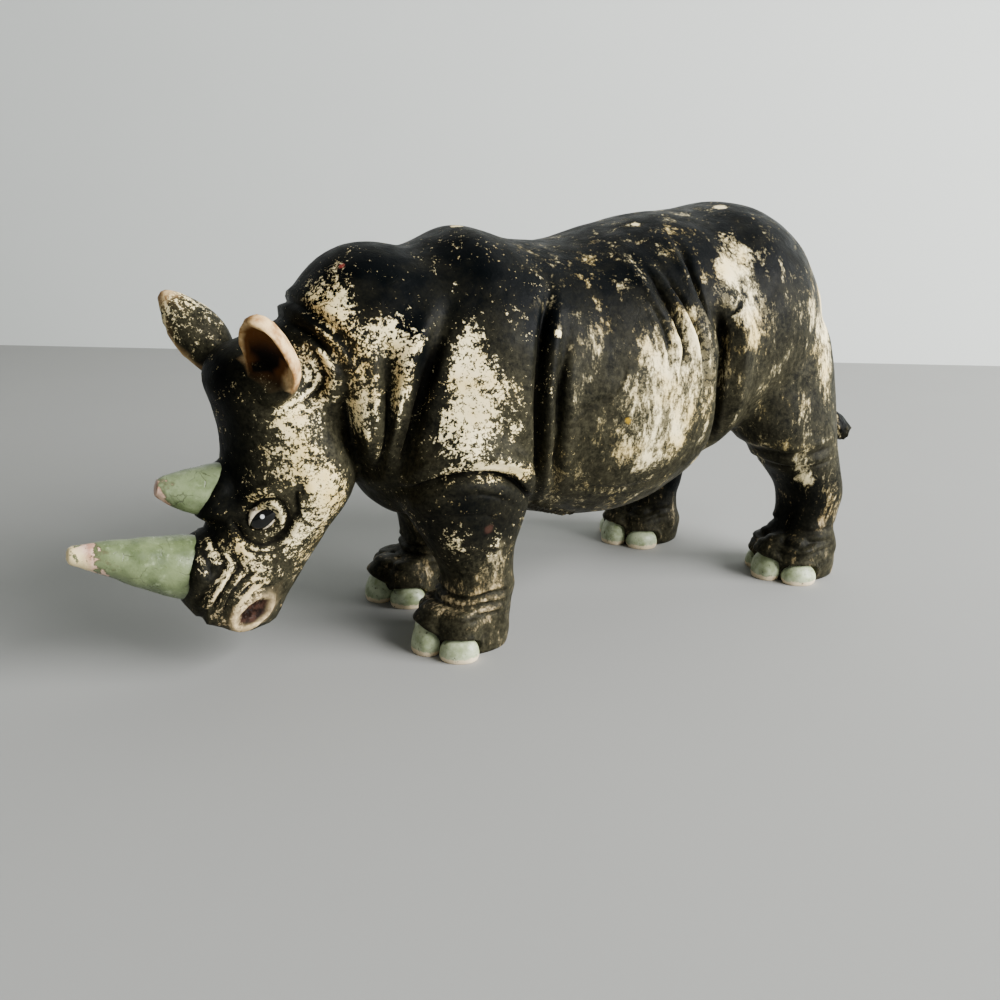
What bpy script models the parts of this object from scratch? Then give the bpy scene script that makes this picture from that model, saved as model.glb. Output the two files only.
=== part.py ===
"""Rhinoceros figurine: one moulded solid standing on four feet, head low and facing -X.

The animal is laid out on a grid of 75 units from the floor to the top of the rump, with
the floor at zero, the middle of the front feet at x = 0 and the spine in the plane y = 0.
One grid unit is one millimetre at the size that FIGURE_HEIGHT sets. The left side of the
animal is at -Y. The finished solid is moved so that its box stands centred on the origin.
"""

import math
from dataclasses import dataclass

import bmesh
import bpy
import numpy as np
from mathutils import Matrix, Vector

FIGURE_HEIGHT = 0.075
GRID_HEIGHT = 75.0
UNIT = FIGURE_HEIGHT / GRID_HEIGHT

RING_POINTS = 40
BODY_CELL = 0.9
DETAIL_CELL = 0.5
BODY_BLEND_PASSES = 9
SKIN_BLEND_PASSES = 2
SOLID_TRIANGLES = 9400

LEFT = -1
RIGHT = 1

LEG_FULLNESS = 2.3
NAIL_LEAN = 18.0

LINE_STEPS = 6
FADE_SHARE = 0.3
LIP_OFFSET = 1.6
LIP_WIDTH = 1.2

HIDE_COLOUR = (0.045, 0.044, 0.042, 1.0)
HIDE_ROUGHNESS = 0.55

COLLECTION_NAME = "rhinoceros_figurine"
NODE_NAME = "rhinoceros"


@dataclass(frozen=True)
class Slice:
    """One cut across a body: its upper and lower ends in the spine's plane, and its width."""

    top: tuple
    bottom: tuple
    half_width: float
    widest: float = 0.5
    fullness: float = 2.2


@dataclass(frozen=True)
class Level:
    """One level cut across a leg: its height, its ends along the body and its sides."""

    height: float
    front: float
    back: float
    inner: float
    outer: float


@dataclass(frozen=True)
class Ear:
    """A leaf-shaped ear: the middle of its base, its tip, the way that its cup faces, its breadth."""

    base: tuple
    tip: tuple
    facing: tuple
    breadth: float = 1.0


@dataclass(frozen=True)
class Swelling:
    """A muscle or bone under the hide of both flanks, or a hollow where the rise is negative."""

    centre: tuple
    radii: tuple
    rise: float


@dataclass(frozen=True)
class Fold:
    """A crease along a line in side view, with a soft lip to the left (1) or right (-1) of it."""

    line: tuple
    depth: float
    width: float
    lip: float
    lip_side: int = 1


# From the tail's root along the back to the nape
TORSO = (
    Slice((85.6, 46.0), (85.6, 39.0), 3.5),
    Slice((84.4, 54.5), (85.0, 33.0), 9.2),
    Slice((81.2, 62.3), (81.8, 30.5), 13.8),
    Slice((76.2, 69.5), (76.5, 29.0), 17.8),
    Slice((70.0, 73.7), (69.0, 29.5), 21.0),
    Slice((62.5, 75.1), (61.0, 29.5), 22.4),
    Slice((54.0, 73.9), (53.0, 26.0), 23.0, 0.46),
    Slice((44.0, 73.3), (44.0, 20.5), 24.8, 0.46),
    Slice((34.0, 71.2), (34.0, 17.4), 25.8, 0.45),
    Slice((24.0, 69.0), (24.0, 17.8), 25.0, 0.45),
    Slice((14.0, 69.6), (14.0, 20.0), 23.0, 0.45),
    Slice((5.0, 72.0), (5.0, 22.0), 21.5, 0.42),
    Slice((-4.0, 68.9), (-4.0, 22.0), 19.5, 0.42),
    Slice((-11.4, 69.8), (-10.0, 23.0), 17.5, 0.42),
    Slice((-18.6, 67.8), (-14.0, 27.2), 15.0, 0.45),
    Slice((-24.8, 61.2), (-17.0, 33.0), 12.6),
    Slice((-29.0, 55.0), (-21.0, 40.0), 9.5),
)

# From the poll down the face to the lips
HEAD = (
    Slice((-31.4, 56.0), (-21.0, 47.0), 7.0),
    Slice((-37.4, 53.8), (-17.5, 42.0), 10.0, 0.55),
    Slice((-39.8, 49.5), (-16.0, 37.0), 11.2, 0.52),
    Slice((-38.4, 43.6), (-16.0, 31.5), 11.4, 0.45),
    Slice((-37.8, 38.4), (-17.8, 26.5), 11.0, 0.42, 2.1),
    Slice((-38.6, 32.4), (-21.0, 22.0), 10.0, 0.45, 2.1),
    Slice((-40.5, 26.5), (-24.4, 17.5), 8.8, 0.5, 2.1),
    Slice((-44.6, 20.5), (-27.6, 13.4), 8.0, 0.5),
    Slice((-47.0, 14.0), (-30.2, 9.5), 8.0, 0.5, 2.4),
    Slice((-45.8, 9.6), (-32.0, 6.9), 7.4, 0.5, 2.4),
    Slice((-42.6, 7.0), (-34.5, 5.9), 4.8),
)

# Each leg from below the sole up into the shoulder or the hip
LEFT_FRONT_LEG = (
    Level(-1.0, -7.6, 7.2, 6.2, 19.2),
    Level(3.0, -8.2, 7.8, 6.0, 19.8),
    Level(6.5, -7.4, 8.0, 6.0, 19.6),
    Level(10.0, -4.5, 8.6, 6.5, 19.3),
    Level(14.0, -4.6, 8.4, 6.5, 19.4),
    Level(19.0, -7.0, 8.6, 6.0, 20.5),
    Level(25.0, -10.5, 10.8, 5.0, 21.8),
    Level(31.0, -12.5, 12.5, 4.0, 23.0),
    Level(38.0, -11.5, 12.0, 3.0, 21.5),
    Level(45.0, -8.0, 9.0, 3.0, 18.0),
)

RIGHT_FRONT_LEG = (
    Level(-1.0, -5.8, 7.0, 6.4, 19.4),
    Level(3.0, -6.2, 7.6, 6.2, 20.0),
    Level(6.5, -5.0, 7.8, 6.2, 19.8),
    Level(10.0, -2.4, 8.8, 6.5, 19.5),
    Level(14.0, -2.6, 8.8, 6.5, 19.5),
    Level(19.0, -3.6, 9.2, 6.0, 20.5),
    Level(25.0, -6.0, 11.0, 5.0, 21.8),
    Level(31.0, -9.5, 12.5, 4.0, 23.0),
    Level(38.0, -10.5, 12.0, 3.0, 21.5),
    Level(45.0, -8.0, 9.0, 3.0, 18.0),
)

HIND_LEG = (
    Level(-1.0, -8.0, 7.6, -6.8, 7.2),
    Level(3.0, -8.6, 8.2, -7.2, 7.6),
    Level(6.0, -7.6, 7.8, -7.2, 7.6),
    Level(9.0, -4.8, 6.8, -6.5, 6.8),
    Level(13.0, -3.6, 7.6, -6.5, 6.5),
    Level(17.5, -4.2, 8.6, -7.0, 7.0),
    Level(22.0, -7.0, 7.4, -8.0, 7.2),
    Level(27.0, -11.8, 6.6, -9.5, 7.2),
    Level(32.0, -16.5, 6.4, -10.5, 7.0),
    Level(40.0, -19.0, 6.2, -11.0, 5.6),
    Level(49.0, -16.0, 4.4, -12.0, 4.2),
    Level(58.0, -11.0, 0.0, -12.0, 0.5),
)

LEFT_FRONT_FOOT = (0.0, 0.0)
RIGHT_FRONT_FOOT = (1.6, -0.6)
LEFT_HIND_FOOT = (77.0, -16.2)
RIGHT_HIND_FOOT = (61.5, 16.2)

FRONT_TOES = (-1.2, 13.0)
HIND_TOES = (-1.4, 0.2)
NAIL_ANGLES = (-60.0, 0.0, 60.0)
NAIL_REACH = 6.4
NAIL_RADII = (2.7, 3.2, 3.2)
NAIL_HEIGHT = 3.4

# Points along each round form, each with its radius last
FRONT_HORN = (
    (-39.5, 0.0, 17.0, 5.0),
    (-45.0, 0.0, 18.4, 5.4),
    (-51.0, 0.0, 20.2, 4.4),
    (-57.0, 0.0, 22.2, 2.9),
    (-61.5, 0.0, 23.6, 1.5),
    (-62.9, 0.0, 24.0, 0.8),
)
BACK_HORN = (
    (-35.6, 0.0, 33.2, 5.0),
    (-38.2, 0.0, 32.4, 4.8),
    (-41.0, 0.0, 31.5, 4.3),
    (-44.6, 0.0, 31.8, 3.4),
    (-47.6, 0.0, 32.4, 2.1),
    (-48.8, 0.0, 32.7, 1.3),
)
TAIL = (
    (82.0, 0.0, 54.0, 3.0),
    (86.2, 0.0, 48.0, 2.7),
    (88.2, -0.4, 41.5, 2.2),
    (89.4, -2.2, 35.5, 1.9),
    (91.6, -4.8, 30.6, 2.4),
    (94.6, -7.2, 27.4, 2.9),
    (97.2, -9.0, 25.6, 1.6),
)

EARS = (
    Ear((-31.4, -9.8, 48.8), (-36.0, -17.6, 60.6), (-0.86, -0.5, 0.0)),
    Ear((-34.0, 10.2, 49.6), (-42.2, 14.8, 61.6), (-0.42, 0.88, 0.1), 0.84),
)
EAR_WALL = 1.9
# Share of the ear's length, half width, depth, and how far the front is hollowed
EAR_STATIONS = (
    (-0.08, 3.0, 3.0, 0.0),
    (0.1, 4.4, 4.0, 0.25),
    (0.28, 5.4, 4.4, 0.8),
    (0.48, 5.6, 4.2, 1.0),
    (0.68, 4.6, 3.6, 1.0),
    (0.86, 2.9, 2.7, 0.9),
    (0.97, 1.3, 1.6, 0.4),
    (1.0, 0.7, 0.9, 0.0),
)

# Given for the right flank and repeated on the left
SWELLINGS = (
    # Shoulder, elbow, thigh and belly
    Swelling((2.0, 20.0, 50.0), (13.0, 9.0, 12.0), 1.3),
    Swelling((0.0, 21.0, 37.0), (9.0, 8.0, 6.0), 0.8),
    Swelling((62.0, 20.0, 50.0), (12.0, 10.0, 16.0), 1.2),
    Swelling((31.0, 25.0, 42.0), (12.0, 8.0, 15.0), 0.7),
    # Cheek, hollow under the jaw, brow, eye socket and eye
    Swelling((-25.5, 9.5, 34.0), (6.5, 5.0, 7.5), 1.7),
    Swelling((-24.0, 6.0, 24.0), (4.5, 4.5, 4.5), -0.8),
    Swelling((-35.2, 9.0, 32.0), (4.5, 4.0, 2.4), 1.2),
    Swelling((-34.4, 9.0, 27.7), (3.8, 4.0, 3.2), -1.1),
    Swelling((-34.2, 8.6, 27.6), (1.9, 3.0, 1.5), 1.5),
    # Nostril ridge and corner of the lips
    Swelling((-42.5, 7.0, 17.0), (3.6, 3.6, 3.2), 1.0),
    Swelling((-38.5, 7.0, 12.0), (3.4, 3.2, 4.0), 0.9),
    # Collars round the bases of the two horns
    Swelling((-44.0, 5.6, 19.6), (3.0, 3.4, 5.0), 1.5),
    Swelling((-39.6, 3.6, 28.6), (2.6, 3.0, 2.2), 1.2),
)

FOLDS = (
    # Behind the cheek, the two rolls of the neck, and the front of the shoulder
    Fold(((-21.6, 52.0), (-21.0, 45.4), (-19.0, 38.4), (-17.0, 33.9), (-17.0, 30.0)), 1.6, 1.5, 0.5),
    Fold(((-15.0, 57.0), (-14.6, 51.0), (-15.0, 44.5), (-15.3, 38.0), (-14.6, 30.0)), 1.6, 1.2, 0.8, -1),
    Fold(
        ((-1.0, 64.0), (-7.3, 54.3), (-9.7, 49.1), (-11.4, 43.0), (-12.6, 37.0), (-13.0, 27.0)),
        2.2, 1.5, 1.0, -1,
    ),
    # The pair of upright folds behind the shoulder
    Fold(((15.6, 65.0), (11.8, 57.9), (9.7, 51.6), (8.9, 42.8), (10.2, 32.0), (12.6, 22.0)), 1.7, 1.1, 0.7),
    Fold(((15.0, 57.0), (12.9, 48.0), (12.7, 40.4), (12.9, 34.0), (15.6, 24.0)), 1.1, 1.0, 0.4),
    # The hide's edge over the top of the front leg
    Fold(
        ((-14.0, 26.0), (-11.9, 30.9), (-9.0, 33.3), (-5.4, 34.2), (-0.1, 34.0), (3.8, 32.4), (7.4, 29.2),
         (13.0, 24.0)),
        1.8, 1.3, 1.1,
    ),
    # Creases of the loin and the deep groove before the thigh
    Fold(((31.4, 69.0), (33.6, 61.0), (35.8, 55.0), (36.2, 50.0), (34.0, 42.0)), 1.1, 1.1, 0.7, -1),
    Fold(((35.0, 68.5), (38.0, 59.0), (39.8, 54.0), (41.2, 48.0), (41.0, 40.0)), 1.1, 1.0, 0.6, -1),
    Fold(((42.4, 71.0), (41.6, 63.2), (42.4, 58.5), (45.4, 53.0)), 0.9, 1.0, 0.5, -1),
    Fold(
        ((42.6, 62.0), (46.6, 55.0), (47.6, 50.2), (47.4, 43.9), (48.6, 35.6), (50.5, 25.0)),
        2.7, 2.0, 1.2,
    ),
    # Rolls of the nape, and the fold round the base of the ear
    Fold(((-29.8, 61.0), (-25.0, 57.0), (-22.4, 54.0), (-21.0, 51.0), (-20.6, 46.0)), 1.1, 1.0, 0.7),
    Fold(((-27.4, 63.5), (-22.9, 58.6), (-20.2, 55.2), (-18.0, 50.0)), 1.0, 0.9, 0.6),
    Fold(((-25.6, 54.3), (-23.9, 51.6), (-23.8, 48.1), (-26.2, 45.4), (-30.6, 44.2)), 1.0, 1.0, 0.7),
    # The mouth, and the wrinkles between it and the front horn
    Fold(((-41.8, 7.0), (-39.8, 9.0), (-37.0, 11.6), (-32.8, 14.2)), 1.4, 1.2, 0.5),
    Fold(((-41.4, 22.0), (-43.0, 18.5), (-45.7, 15.0)), 0.8, 0.8, 0.4),
    Fold(((-39.3, 21.0), (-41.0, 16.5), (-43.8, 12.0)), 0.9, 0.8, 0.5),
    Fold(((-36.8, 20.0), (-38.6, 15.5), (-41.8, 11.0)), 0.8, 0.8, 0.4),
)


def blended(stations, steps):
    """Rows of numbers, with a smooth run of in-between rows added from each to the next."""
    rows = np.array(stations, float)
    padded = np.vstack([2 * rows[0] - rows[1], rows, 2 * rows[-1] - rows[-2]])
    made = []
    for before, start, end, after in zip(padded, padded[1:], padded[2:], padded[3:]):
        for t in np.arange(steps) / steps:
            line = 2 * start + (end - before) * t
            bend = (2 * before - 5 * start + 4 * end - after) * t**2
            twist = (3 * start - before - 3 * end + after) * t**3
            made.append((line + bend + twist) / 2)
    return np.array(made + [rows[-1]])


def loft(rings):
    """A closed skin over a row of rings, each an array of points in grid units."""
    bm = bmesh.new()
    turn = bm.verts.layers.int.new("turn")
    verts = bmesh.ops.create_circle(bm, radius=1.0, segments=len(rings[0]))["verts"]
    for index, vert in enumerate(verts):
        vert[turn] = index
    loop = list({edge for vert in verts for edge in vert.link_edges})
    ends = [loop]
    for number, ring in enumerate(rings):
        if number:
            made = bmesh.ops.extrude_edge_only(bm, edges=loop)["geom"]
            verts = [part for part in made if isinstance(part, bmesh.types.BMVert)]
            fresh = set(verts)
            edges = [part for part in made if isinstance(part, bmesh.types.BMEdge)]
            loop = [edge for edge in edges if set(edge.verts) <= fresh]
        for vert in verts:
            vert.co = ring[vert[turn]]
    ends.append(loop)
    for end in ends:
        bmesh.ops.contextual_create(bm, geom=end)
    bmesh.ops.recalc_face_normals(bm, faces=bm.faces)
    return bm


def ring_angles():
    """The angles of a ring's points, one turn in all."""
    return np.arange(RING_POINTS) * 2 * math.pi / RING_POINTS


def rounded(wave, fullness):
    """A sine or cosine pressed towards a box shape."""
    return np.sign(wave) * np.abs(wave) ** (2.0 / fullness)


def sliced_body(slices, steps=5):
    """The skin over slices that stand across the spine's plane."""
    rows = [
        (*cut.top, *cut.bottom, cut.half_width, cut.widest, cut.fullness)
        for cut in slices
    ]
    rings = []
    for top_x, top_z, low_x, low_z, half_width, widest, fullness in blended(rows, steps):
        top = np.array([top_x, 0, top_z])
        low = np.array([low_x, 0, low_z])
        middle = low + (top - low) * widest
        upward = rounded(np.sin(ring_angles()), fullness)[:, None]
        reach = np.where(upward > 0, upward * (top - middle), upward * (middle - low))
        side = rounded(np.cos(ring_angles()), fullness)[:, None]
        rings.append(middle + reach + side * np.array([0, half_width, 0]))
    return loft(rings)


def levelled_leg(levels, foot, side, steps=4):
    """The skin over level cuts of a leg on the left or right side."""
    rows = [
        (cut.height, cut.front, cut.back, cut.inner, cut.outer) for cut in levels
    ]
    along = rounded(np.cos(ring_angles()), LEG_FULLNESS)
    out = rounded(np.sin(ring_angles()), LEG_FULLNESS)
    rings = []
    for height, front, back, inner, outer in blended(rows, steps):
        x = foot[0] + (front + back) / 2 + (back - front) / 2 * along
        y = foot[1] + side * ((inner + outer) / 2 + (outer - inner) / 2 * out)
        rings.append(np.column_stack([x, y, np.full(RING_POINTS, height)]))
    return loft(rings)


def tapered(stations, steps=6):
    """A round form along a smooth line of stations, each a point and a radius."""
    path = blended(stations, steps)
    heading = np.gradient(path[:, :3], axis=0)
    angles = ring_angles()
    flat = np.column_stack([np.cos(angles), np.sin(angles), np.zeros(RING_POINTS)])
    rings = []
    for station, forward in zip(path, heading):
        turn = Vector(forward).to_track_quat("Z", "Y").to_matrix()
        rings.append(station[:3] + station[3] * flat @ np.array(turn).T)
    return loft(rings)


def cupped_ear(ear, steps=4):
    """An ear on a round stalk, hollowed on the side that it faces."""
    base = Vector(ear.base)
    reach = Vector(ear.tip) - base
    upward = reach.normalized()
    front = Vector(ear.facing)
    front = (front - upward * front.dot(upward)).normalized()
    across = np.array(upward.cross(front))
    wave = np.cos(ring_angles())
    rise = np.abs(np.sin(ring_angles()))
    before = np.sin(ring_angles()) > 0
    rings = []
    for share, half_width, depth, hollow in blended(EAR_STATIONS, steps):
        cup = ((1 - hollow) * depth - hollow * (depth - EAR_WALL)) * rise
        out = np.where(before, cup, -depth * rise)
        centre = np.array(base + reach * share)
        rings.append(
            centre + np.outer(ear.breadth * half_width * wave, across) + np.outer(out, np.array(front))
        )
    return loft(rings)


def toe_nails(foot, toes, side):
    """The three nails that stand round the front of a foot, the middle one leading."""
    lean = Matrix.Rotation(math.radians(NAIL_LEAN), 4, "Y")
    nails = []
    for degrees in NAIL_ANGLES:
        turn = math.radians(degrees)
        place = Vector((
            foot[0] + toes[0] - NAIL_REACH * math.cos(turn),
            foot[1] + side * toes[1] + NAIL_REACH * math.sin(turn),
            NAIL_HEIGHT,
        ))
        swing = Matrix.Rotation(-turn, 4, "Z")
        shape = Matrix.Translation(place) @ swing @ lean @ Matrix.Diagonal((*NAIL_RADII, 1.0))
        bm = bmesh.new()
        bmesh.ops.create_uvsphere(bm, u_segments=32, v_segments=16, radius=1.0, matrix=shape)
        nails.append(bm)
    return nails


def body_forms():
    """The torso, head and legs, which flow into each other."""
    return [
        sliced_body(TORSO),
        sliced_body(HEAD),
        levelled_leg(LEFT_FRONT_LEG, LEFT_FRONT_FOOT, LEFT),
        levelled_leg(RIGHT_FRONT_LEG, RIGHT_FRONT_FOOT, RIGHT),
        levelled_leg(HIND_LEG, LEFT_HIND_FOOT, LEFT),
        levelled_leg(HIND_LEG, RIGHT_HIND_FOOT, RIGHT),
    ]


def detail_forms():
    """What stands out of the hide: horns, tail, ears and nails."""
    return [
        tapered(FRONT_HORN),
        tapered(BACK_HORN),
        tapered(TAIL),
        *[cupped_ear(ear) for ear in EARS],
        *toe_nails(LEFT_FRONT_FOOT, FRONT_TOES, LEFT),
        *toe_nails(RIGHT_FRONT_FOOT, FRONT_TOES, RIGHT),
        *toe_nails(LEFT_HIND_FOOT, HIND_TOES, LEFT),
        *toe_nails(RIGHT_HIND_FOOT, HIND_TOES, RIGHT),
    ]


def joined(forms):
    """One mesh that holds all the given forms."""
    whole = bmesh.new()
    for form in forms:
        piece = bpy.data.meshes.new("piece")
        form.to_mesh(piece)
        form.free()
        whole.from_mesh(piece)
        bpy.data.meshes.remove(piece)
    return whole


def modified(bm, kind, **settings):
    """The same form after one modifier."""
    mesh = bpy.data.meshes.new("form")
    bm.to_mesh(mesh)
    bm.free()
    holder = bpy.data.objects.new("form", mesh)
    bpy.context.scene.collection.objects.link(holder)
    step = holder.modifiers.new("step", kind)
    for name, value in settings.items():
        setattr(step, name, value)
    graph = bpy.context.evaluated_depsgraph_get()
    made = bpy.data.meshes.new_from_object(holder.evaluated_get(graph))
    bpy.data.objects.remove(holder)
    bpy.data.meshes.remove(mesh)
    result = bmesh.new()
    result.from_mesh(made)
    bpy.data.meshes.remove(made)
    return result


def fused(forms, cell):
    """All the forms wrapped in a single even skin."""
    return modified(joined(forms), "REMESH", mode="VOXEL", voxel_size=cell)


def smoothed(bm, passes):
    """The form with its joins softened."""
    return modified(bm, "SMOOTH", factor=0.5, iterations=passes)


def reduced(bm, triangles):
    """The form with no more than about the given number of triangles."""
    before = sum(len(face.verts) - 2 for face in bm.faces)
    return modified(bm, "DECIMATE", ratio=triangles / before, use_collapse_triangulate=True)


def nearness(points, line):
    """Each point's distance from a line in side view, signed by side, and its place along it."""
    path = blended(line, LINE_STEPS)
    flat = points[:, [0, 2]]
    nearest = np.full(len(flat), np.inf)
    signed = np.zeros(len(flat))
    along = np.zeros(len(flat))
    for number, (start, end) in enumerate(zip(path, path[1:])):
        step = end - start
        share = np.clip((flat - start) @ step / (step @ step), 0.0, 1.0)
        away = flat - start - share[:, None] * step
        distance = np.hypot(away[:, 0], away[:, 1])
        closer = distance < nearest
        turned = step[0] * away[:, 1] - step[1] * away[:, 0]
        nearest = np.where(closer, distance, nearest)
        signed = np.where(closer, np.sign(turned) * distance, signed)
        along = np.where(closer, (number + share) / (len(path) - 1), along)
    return signed, along


def relief(points):
    """How far each point of the hide moves out along its normal."""
    move = np.zeros(len(points))
    for mound in SWELLINGS:
        for side in (LEFT, RIGHT):
            away = (points - np.array(mound.centre) * (1, side, 1)) / np.array(mound.radii)
            move += mound.rise * np.exp(-(away**2).sum(axis=1))
    for fold in FOLDS:
        signed, along = nearness(points, fold.line)
        fade = np.clip(np.minimum(along, 1 - along) / FADE_SHARE, 0.0, 1.0)
        fade = fade * fade * (3 - 2 * fade)
        beside = signed * fold.lip_side - LIP_OFFSET * fold.width
        groove = fold.depth * np.exp(-((signed / fold.width) ** 2))
        lip = fold.lip * np.exp(-((beside / (LIP_WIDTH * fold.width)) ** 2))
        move += (lip - groove) * fade
    return move


def carved(bm):
    """The form with its muscles raised and its folds pressed in."""
    bm.normal_update()
    points = np.array([vert.co for vert in bm.verts])
    for vert, move in zip(bm.verts, relief(points)):
        vert.co += vert.normal * move
    return bm


def flat_soles(bm):
    """The form cut level at the floor, with each foot closed by one flat face."""
    geometry = bm.verts[:] + bm.edges[:] + bm.faces[:]
    cut = bmesh.ops.bisect_plane(
        bm, geom=geometry, plane_co=(0, 0, 0), plane_no=(0, 0, 1), clear_inner=True
    )
    rims = [part for part in cut["geom_cut"] if isinstance(part, bmesh.types.BMEdge)]
    bmesh.ops.holes_fill(bm, edges=rims, sides=0)
    bmesh.ops.recalc_face_normals(bm, faces=bm.faces)
    return bm


def hide_material():
    """Dark paint on moulded plastic."""
    material = bpy.data.materials.new("painted_hide")
    material.use_nodes = True
    shader = material.node_tree.nodes["Principled BSDF"]
    shader.inputs["Base Color"].default_value = HIDE_COLOUR
    shader.inputs["Roughness"].default_value = HIDE_ROUGHNESS
    return material


def centred(mesh):
    """Moves the mesh so that its box stands centred on the origin, and tells where it was."""
    corners = np.array([vert.co for vert in mesh.vertices])
    middle = (corners.min(axis=0) + corners.max(axis=0)) / 2
    mesh.transform(Matrix.Translation((-middle[0], -middle[1], 0.0)))
    return middle


def main():
    """Builds the figurine in a collection of its own."""
    for stale in list(bpy.data.objects):
        bpy.data.objects.remove(stale)
    collection = bpy.data.collections.new(COLLECTION_NAME)
    bpy.context.scene.collection.children.link(collection)
    body = smoothed(fused(body_forms(), BODY_CELL), BODY_BLEND_PASSES)
    whole = smoothed(fused([body, *detail_forms()], DETAIL_CELL), SKIN_BLEND_PASSES)
    solid = flat_soles(reduced(carved(whole), SOLID_TRIANGLES))
    mesh = bpy.data.meshes.new(NODE_NAME)
    solid.to_mesh(mesh)
    solid.free()
    mesh.transform(Matrix.Scale(UNIT, 4))
    centred(mesh)
    mesh.shade_smooth()
    mesh.materials.append(hide_material())
    figure = bpy.data.objects.new(NODE_NAME, mesh)
    collection.objects.link(figure)


main()
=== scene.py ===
"""Dressed model of the rhinoceros figurine: a moulded vinyl animal in dark, rubbed paint.

The animal is laid out on the same grid as its solid: 75 units from the floor to the top of
the rump, one unit being a millimetre, with the floor at zero, the front feet at x = 0, the
spine in the plane y = 0 and the head towards -X. The left side is at -Y. When every piece is
made, all of them are moved together into the box of the solid.
"""

import logging
import math
from dataclasses import astuple, dataclass, field
from enum import Enum

import bmesh
import bpy
import numpy as np
from mathutils import Matrix, Vector, noise
from mathutils.bvhtree import BVHTree


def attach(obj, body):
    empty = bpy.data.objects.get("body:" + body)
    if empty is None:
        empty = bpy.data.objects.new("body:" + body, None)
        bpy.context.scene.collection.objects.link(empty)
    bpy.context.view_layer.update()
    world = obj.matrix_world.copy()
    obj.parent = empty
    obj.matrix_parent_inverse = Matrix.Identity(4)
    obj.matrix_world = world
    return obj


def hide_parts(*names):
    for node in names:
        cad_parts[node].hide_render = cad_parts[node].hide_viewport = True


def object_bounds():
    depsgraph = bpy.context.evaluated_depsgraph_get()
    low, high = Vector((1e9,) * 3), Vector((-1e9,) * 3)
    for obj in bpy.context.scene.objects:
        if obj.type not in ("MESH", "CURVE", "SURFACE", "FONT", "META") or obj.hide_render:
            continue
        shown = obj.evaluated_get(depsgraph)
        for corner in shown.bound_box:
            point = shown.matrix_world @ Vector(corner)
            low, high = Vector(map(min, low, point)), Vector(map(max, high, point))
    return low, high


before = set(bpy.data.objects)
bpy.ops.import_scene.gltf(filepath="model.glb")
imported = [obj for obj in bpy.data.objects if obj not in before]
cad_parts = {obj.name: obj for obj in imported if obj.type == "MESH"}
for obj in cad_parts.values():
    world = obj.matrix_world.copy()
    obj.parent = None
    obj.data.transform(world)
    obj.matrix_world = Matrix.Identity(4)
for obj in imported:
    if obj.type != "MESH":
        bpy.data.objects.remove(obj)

CAD_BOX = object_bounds()

LOG = logging.getLogger("rhinoceros")

MILLIMETRE = 0.001
CAD_NODE = "rhinoceros"
BODY = "root"

# Points along each horn in grid units, each with its radius last
FRONT_HORN = (
    (-39.5, 0.0, 17.0, 5.0),
    (-45.0, 0.0, 18.4, 5.4),
    (-51.0, 0.0, 20.2, 4.4),
    (-57.0, 0.0, 22.2, 2.9),
    (-61.0, 0.0, 23.3, 1.9),
    (-62.7, 0.0, 23.7, 1.4),
    (-63.2, 0.0, 23.8, 0.7),
)
BACK_HORN = (
    (-36.0, 0.0, 31.0, 4.5),
    (-40.6, 0.0, 31.0, 4.3),
    (-44.8, 0.0, 31.7, 3.3),
    (-47.6, 0.0, 32.4, 2.1),
    (-48.8, 0.0, 32.7, 1.3),
)


class Side(Enum):
    """The flank that a feature lies on."""

    LEFT = -1
    RIGHT = 1
    BOTH = 0


# Rows of numbers and meshes


def blended(stations: tuple, steps: int) -> np.ndarray:
    """Adds a smooth run of rows between each row of numbers and the next.

    Args:
        stations: Rows of equal length.
        steps: How many rows each gap is divided into.

    Returns:
        The rows, the given ones among them.
    """
    rows = np.array(stations, float)
    padded = np.vstack([2 * rows[0] - rows[1], rows, 2 * rows[-1] - rows[-2]])
    made = []
    for before, start, end, after in zip(padded, padded[1:], padded[2:], padded[3:]):
        for t in np.arange(steps) / steps:
            line = 2 * start + (end - before) * t
            bend = (2 * before - 5 * start + 4 * end - after) * t**2
            twist = (3 * start - before - 3 * end + after) * t**3
            made.append((line + bend + twist) / 2)
    return np.array(made + [rows[-1]])


def ring_angles(points: int) -> np.ndarray:
    """The angles of a ring's points, one turn in all."""
    return np.arange(points) * 2 * math.pi / points


def rounded(wave: np.ndarray, fullness: float) -> np.ndarray:
    """A sine or cosine pressed towards a box shape."""
    return np.sign(wave) * np.abs(wave) ** (2.0 / fullness)


def eased(share: np.ndarray) -> np.ndarray:
    """A share held between 0 and 1 that starts and ends gently."""
    held = np.clip(share, 0.0, 1.0)
    return held * held * (3 - 2 * held)


def loft(rings: list) -> bmesh.types.BMesh:
    """Draws a closed skin over a row of rings.

    Args:
        rings: Arrays of points, each ring with the same number of them.

    Returns:
        The skin, with both ends closed and its faces outwards.
    """
    bm = bmesh.new()
    turn = bm.verts.layers.int.new("turn")
    verts = bmesh.ops.create_circle(bm, radius=1.0, segments=len(rings[0]))["verts"]
    for index, vert in enumerate(verts):
        vert[turn] = index
    loop = list({edge for vert in verts for edge in vert.link_edges})
    ends = [loop]
    for number, ring in enumerate(rings):
        if number:
            made = bmesh.ops.extrude_edge_only(bm, edges=loop)["geom"]
            verts = [part for part in made if isinstance(part, bmesh.types.BMVert)]
            fresh = set(verts)
            edges = [part for part in made if isinstance(part, bmesh.types.BMEdge)]
            loop = [edge for edge in edges if set(edge.verts) <= fresh]
        for vert in verts:
            vert.co = ring[vert[turn]]
    ends.append(loop)
    for end in ends:
        bmesh.ops.contextual_create(bm, geom=end)
    bmesh.ops.recalc_face_normals(bm, faces=bm.faces)
    return bm


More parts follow.
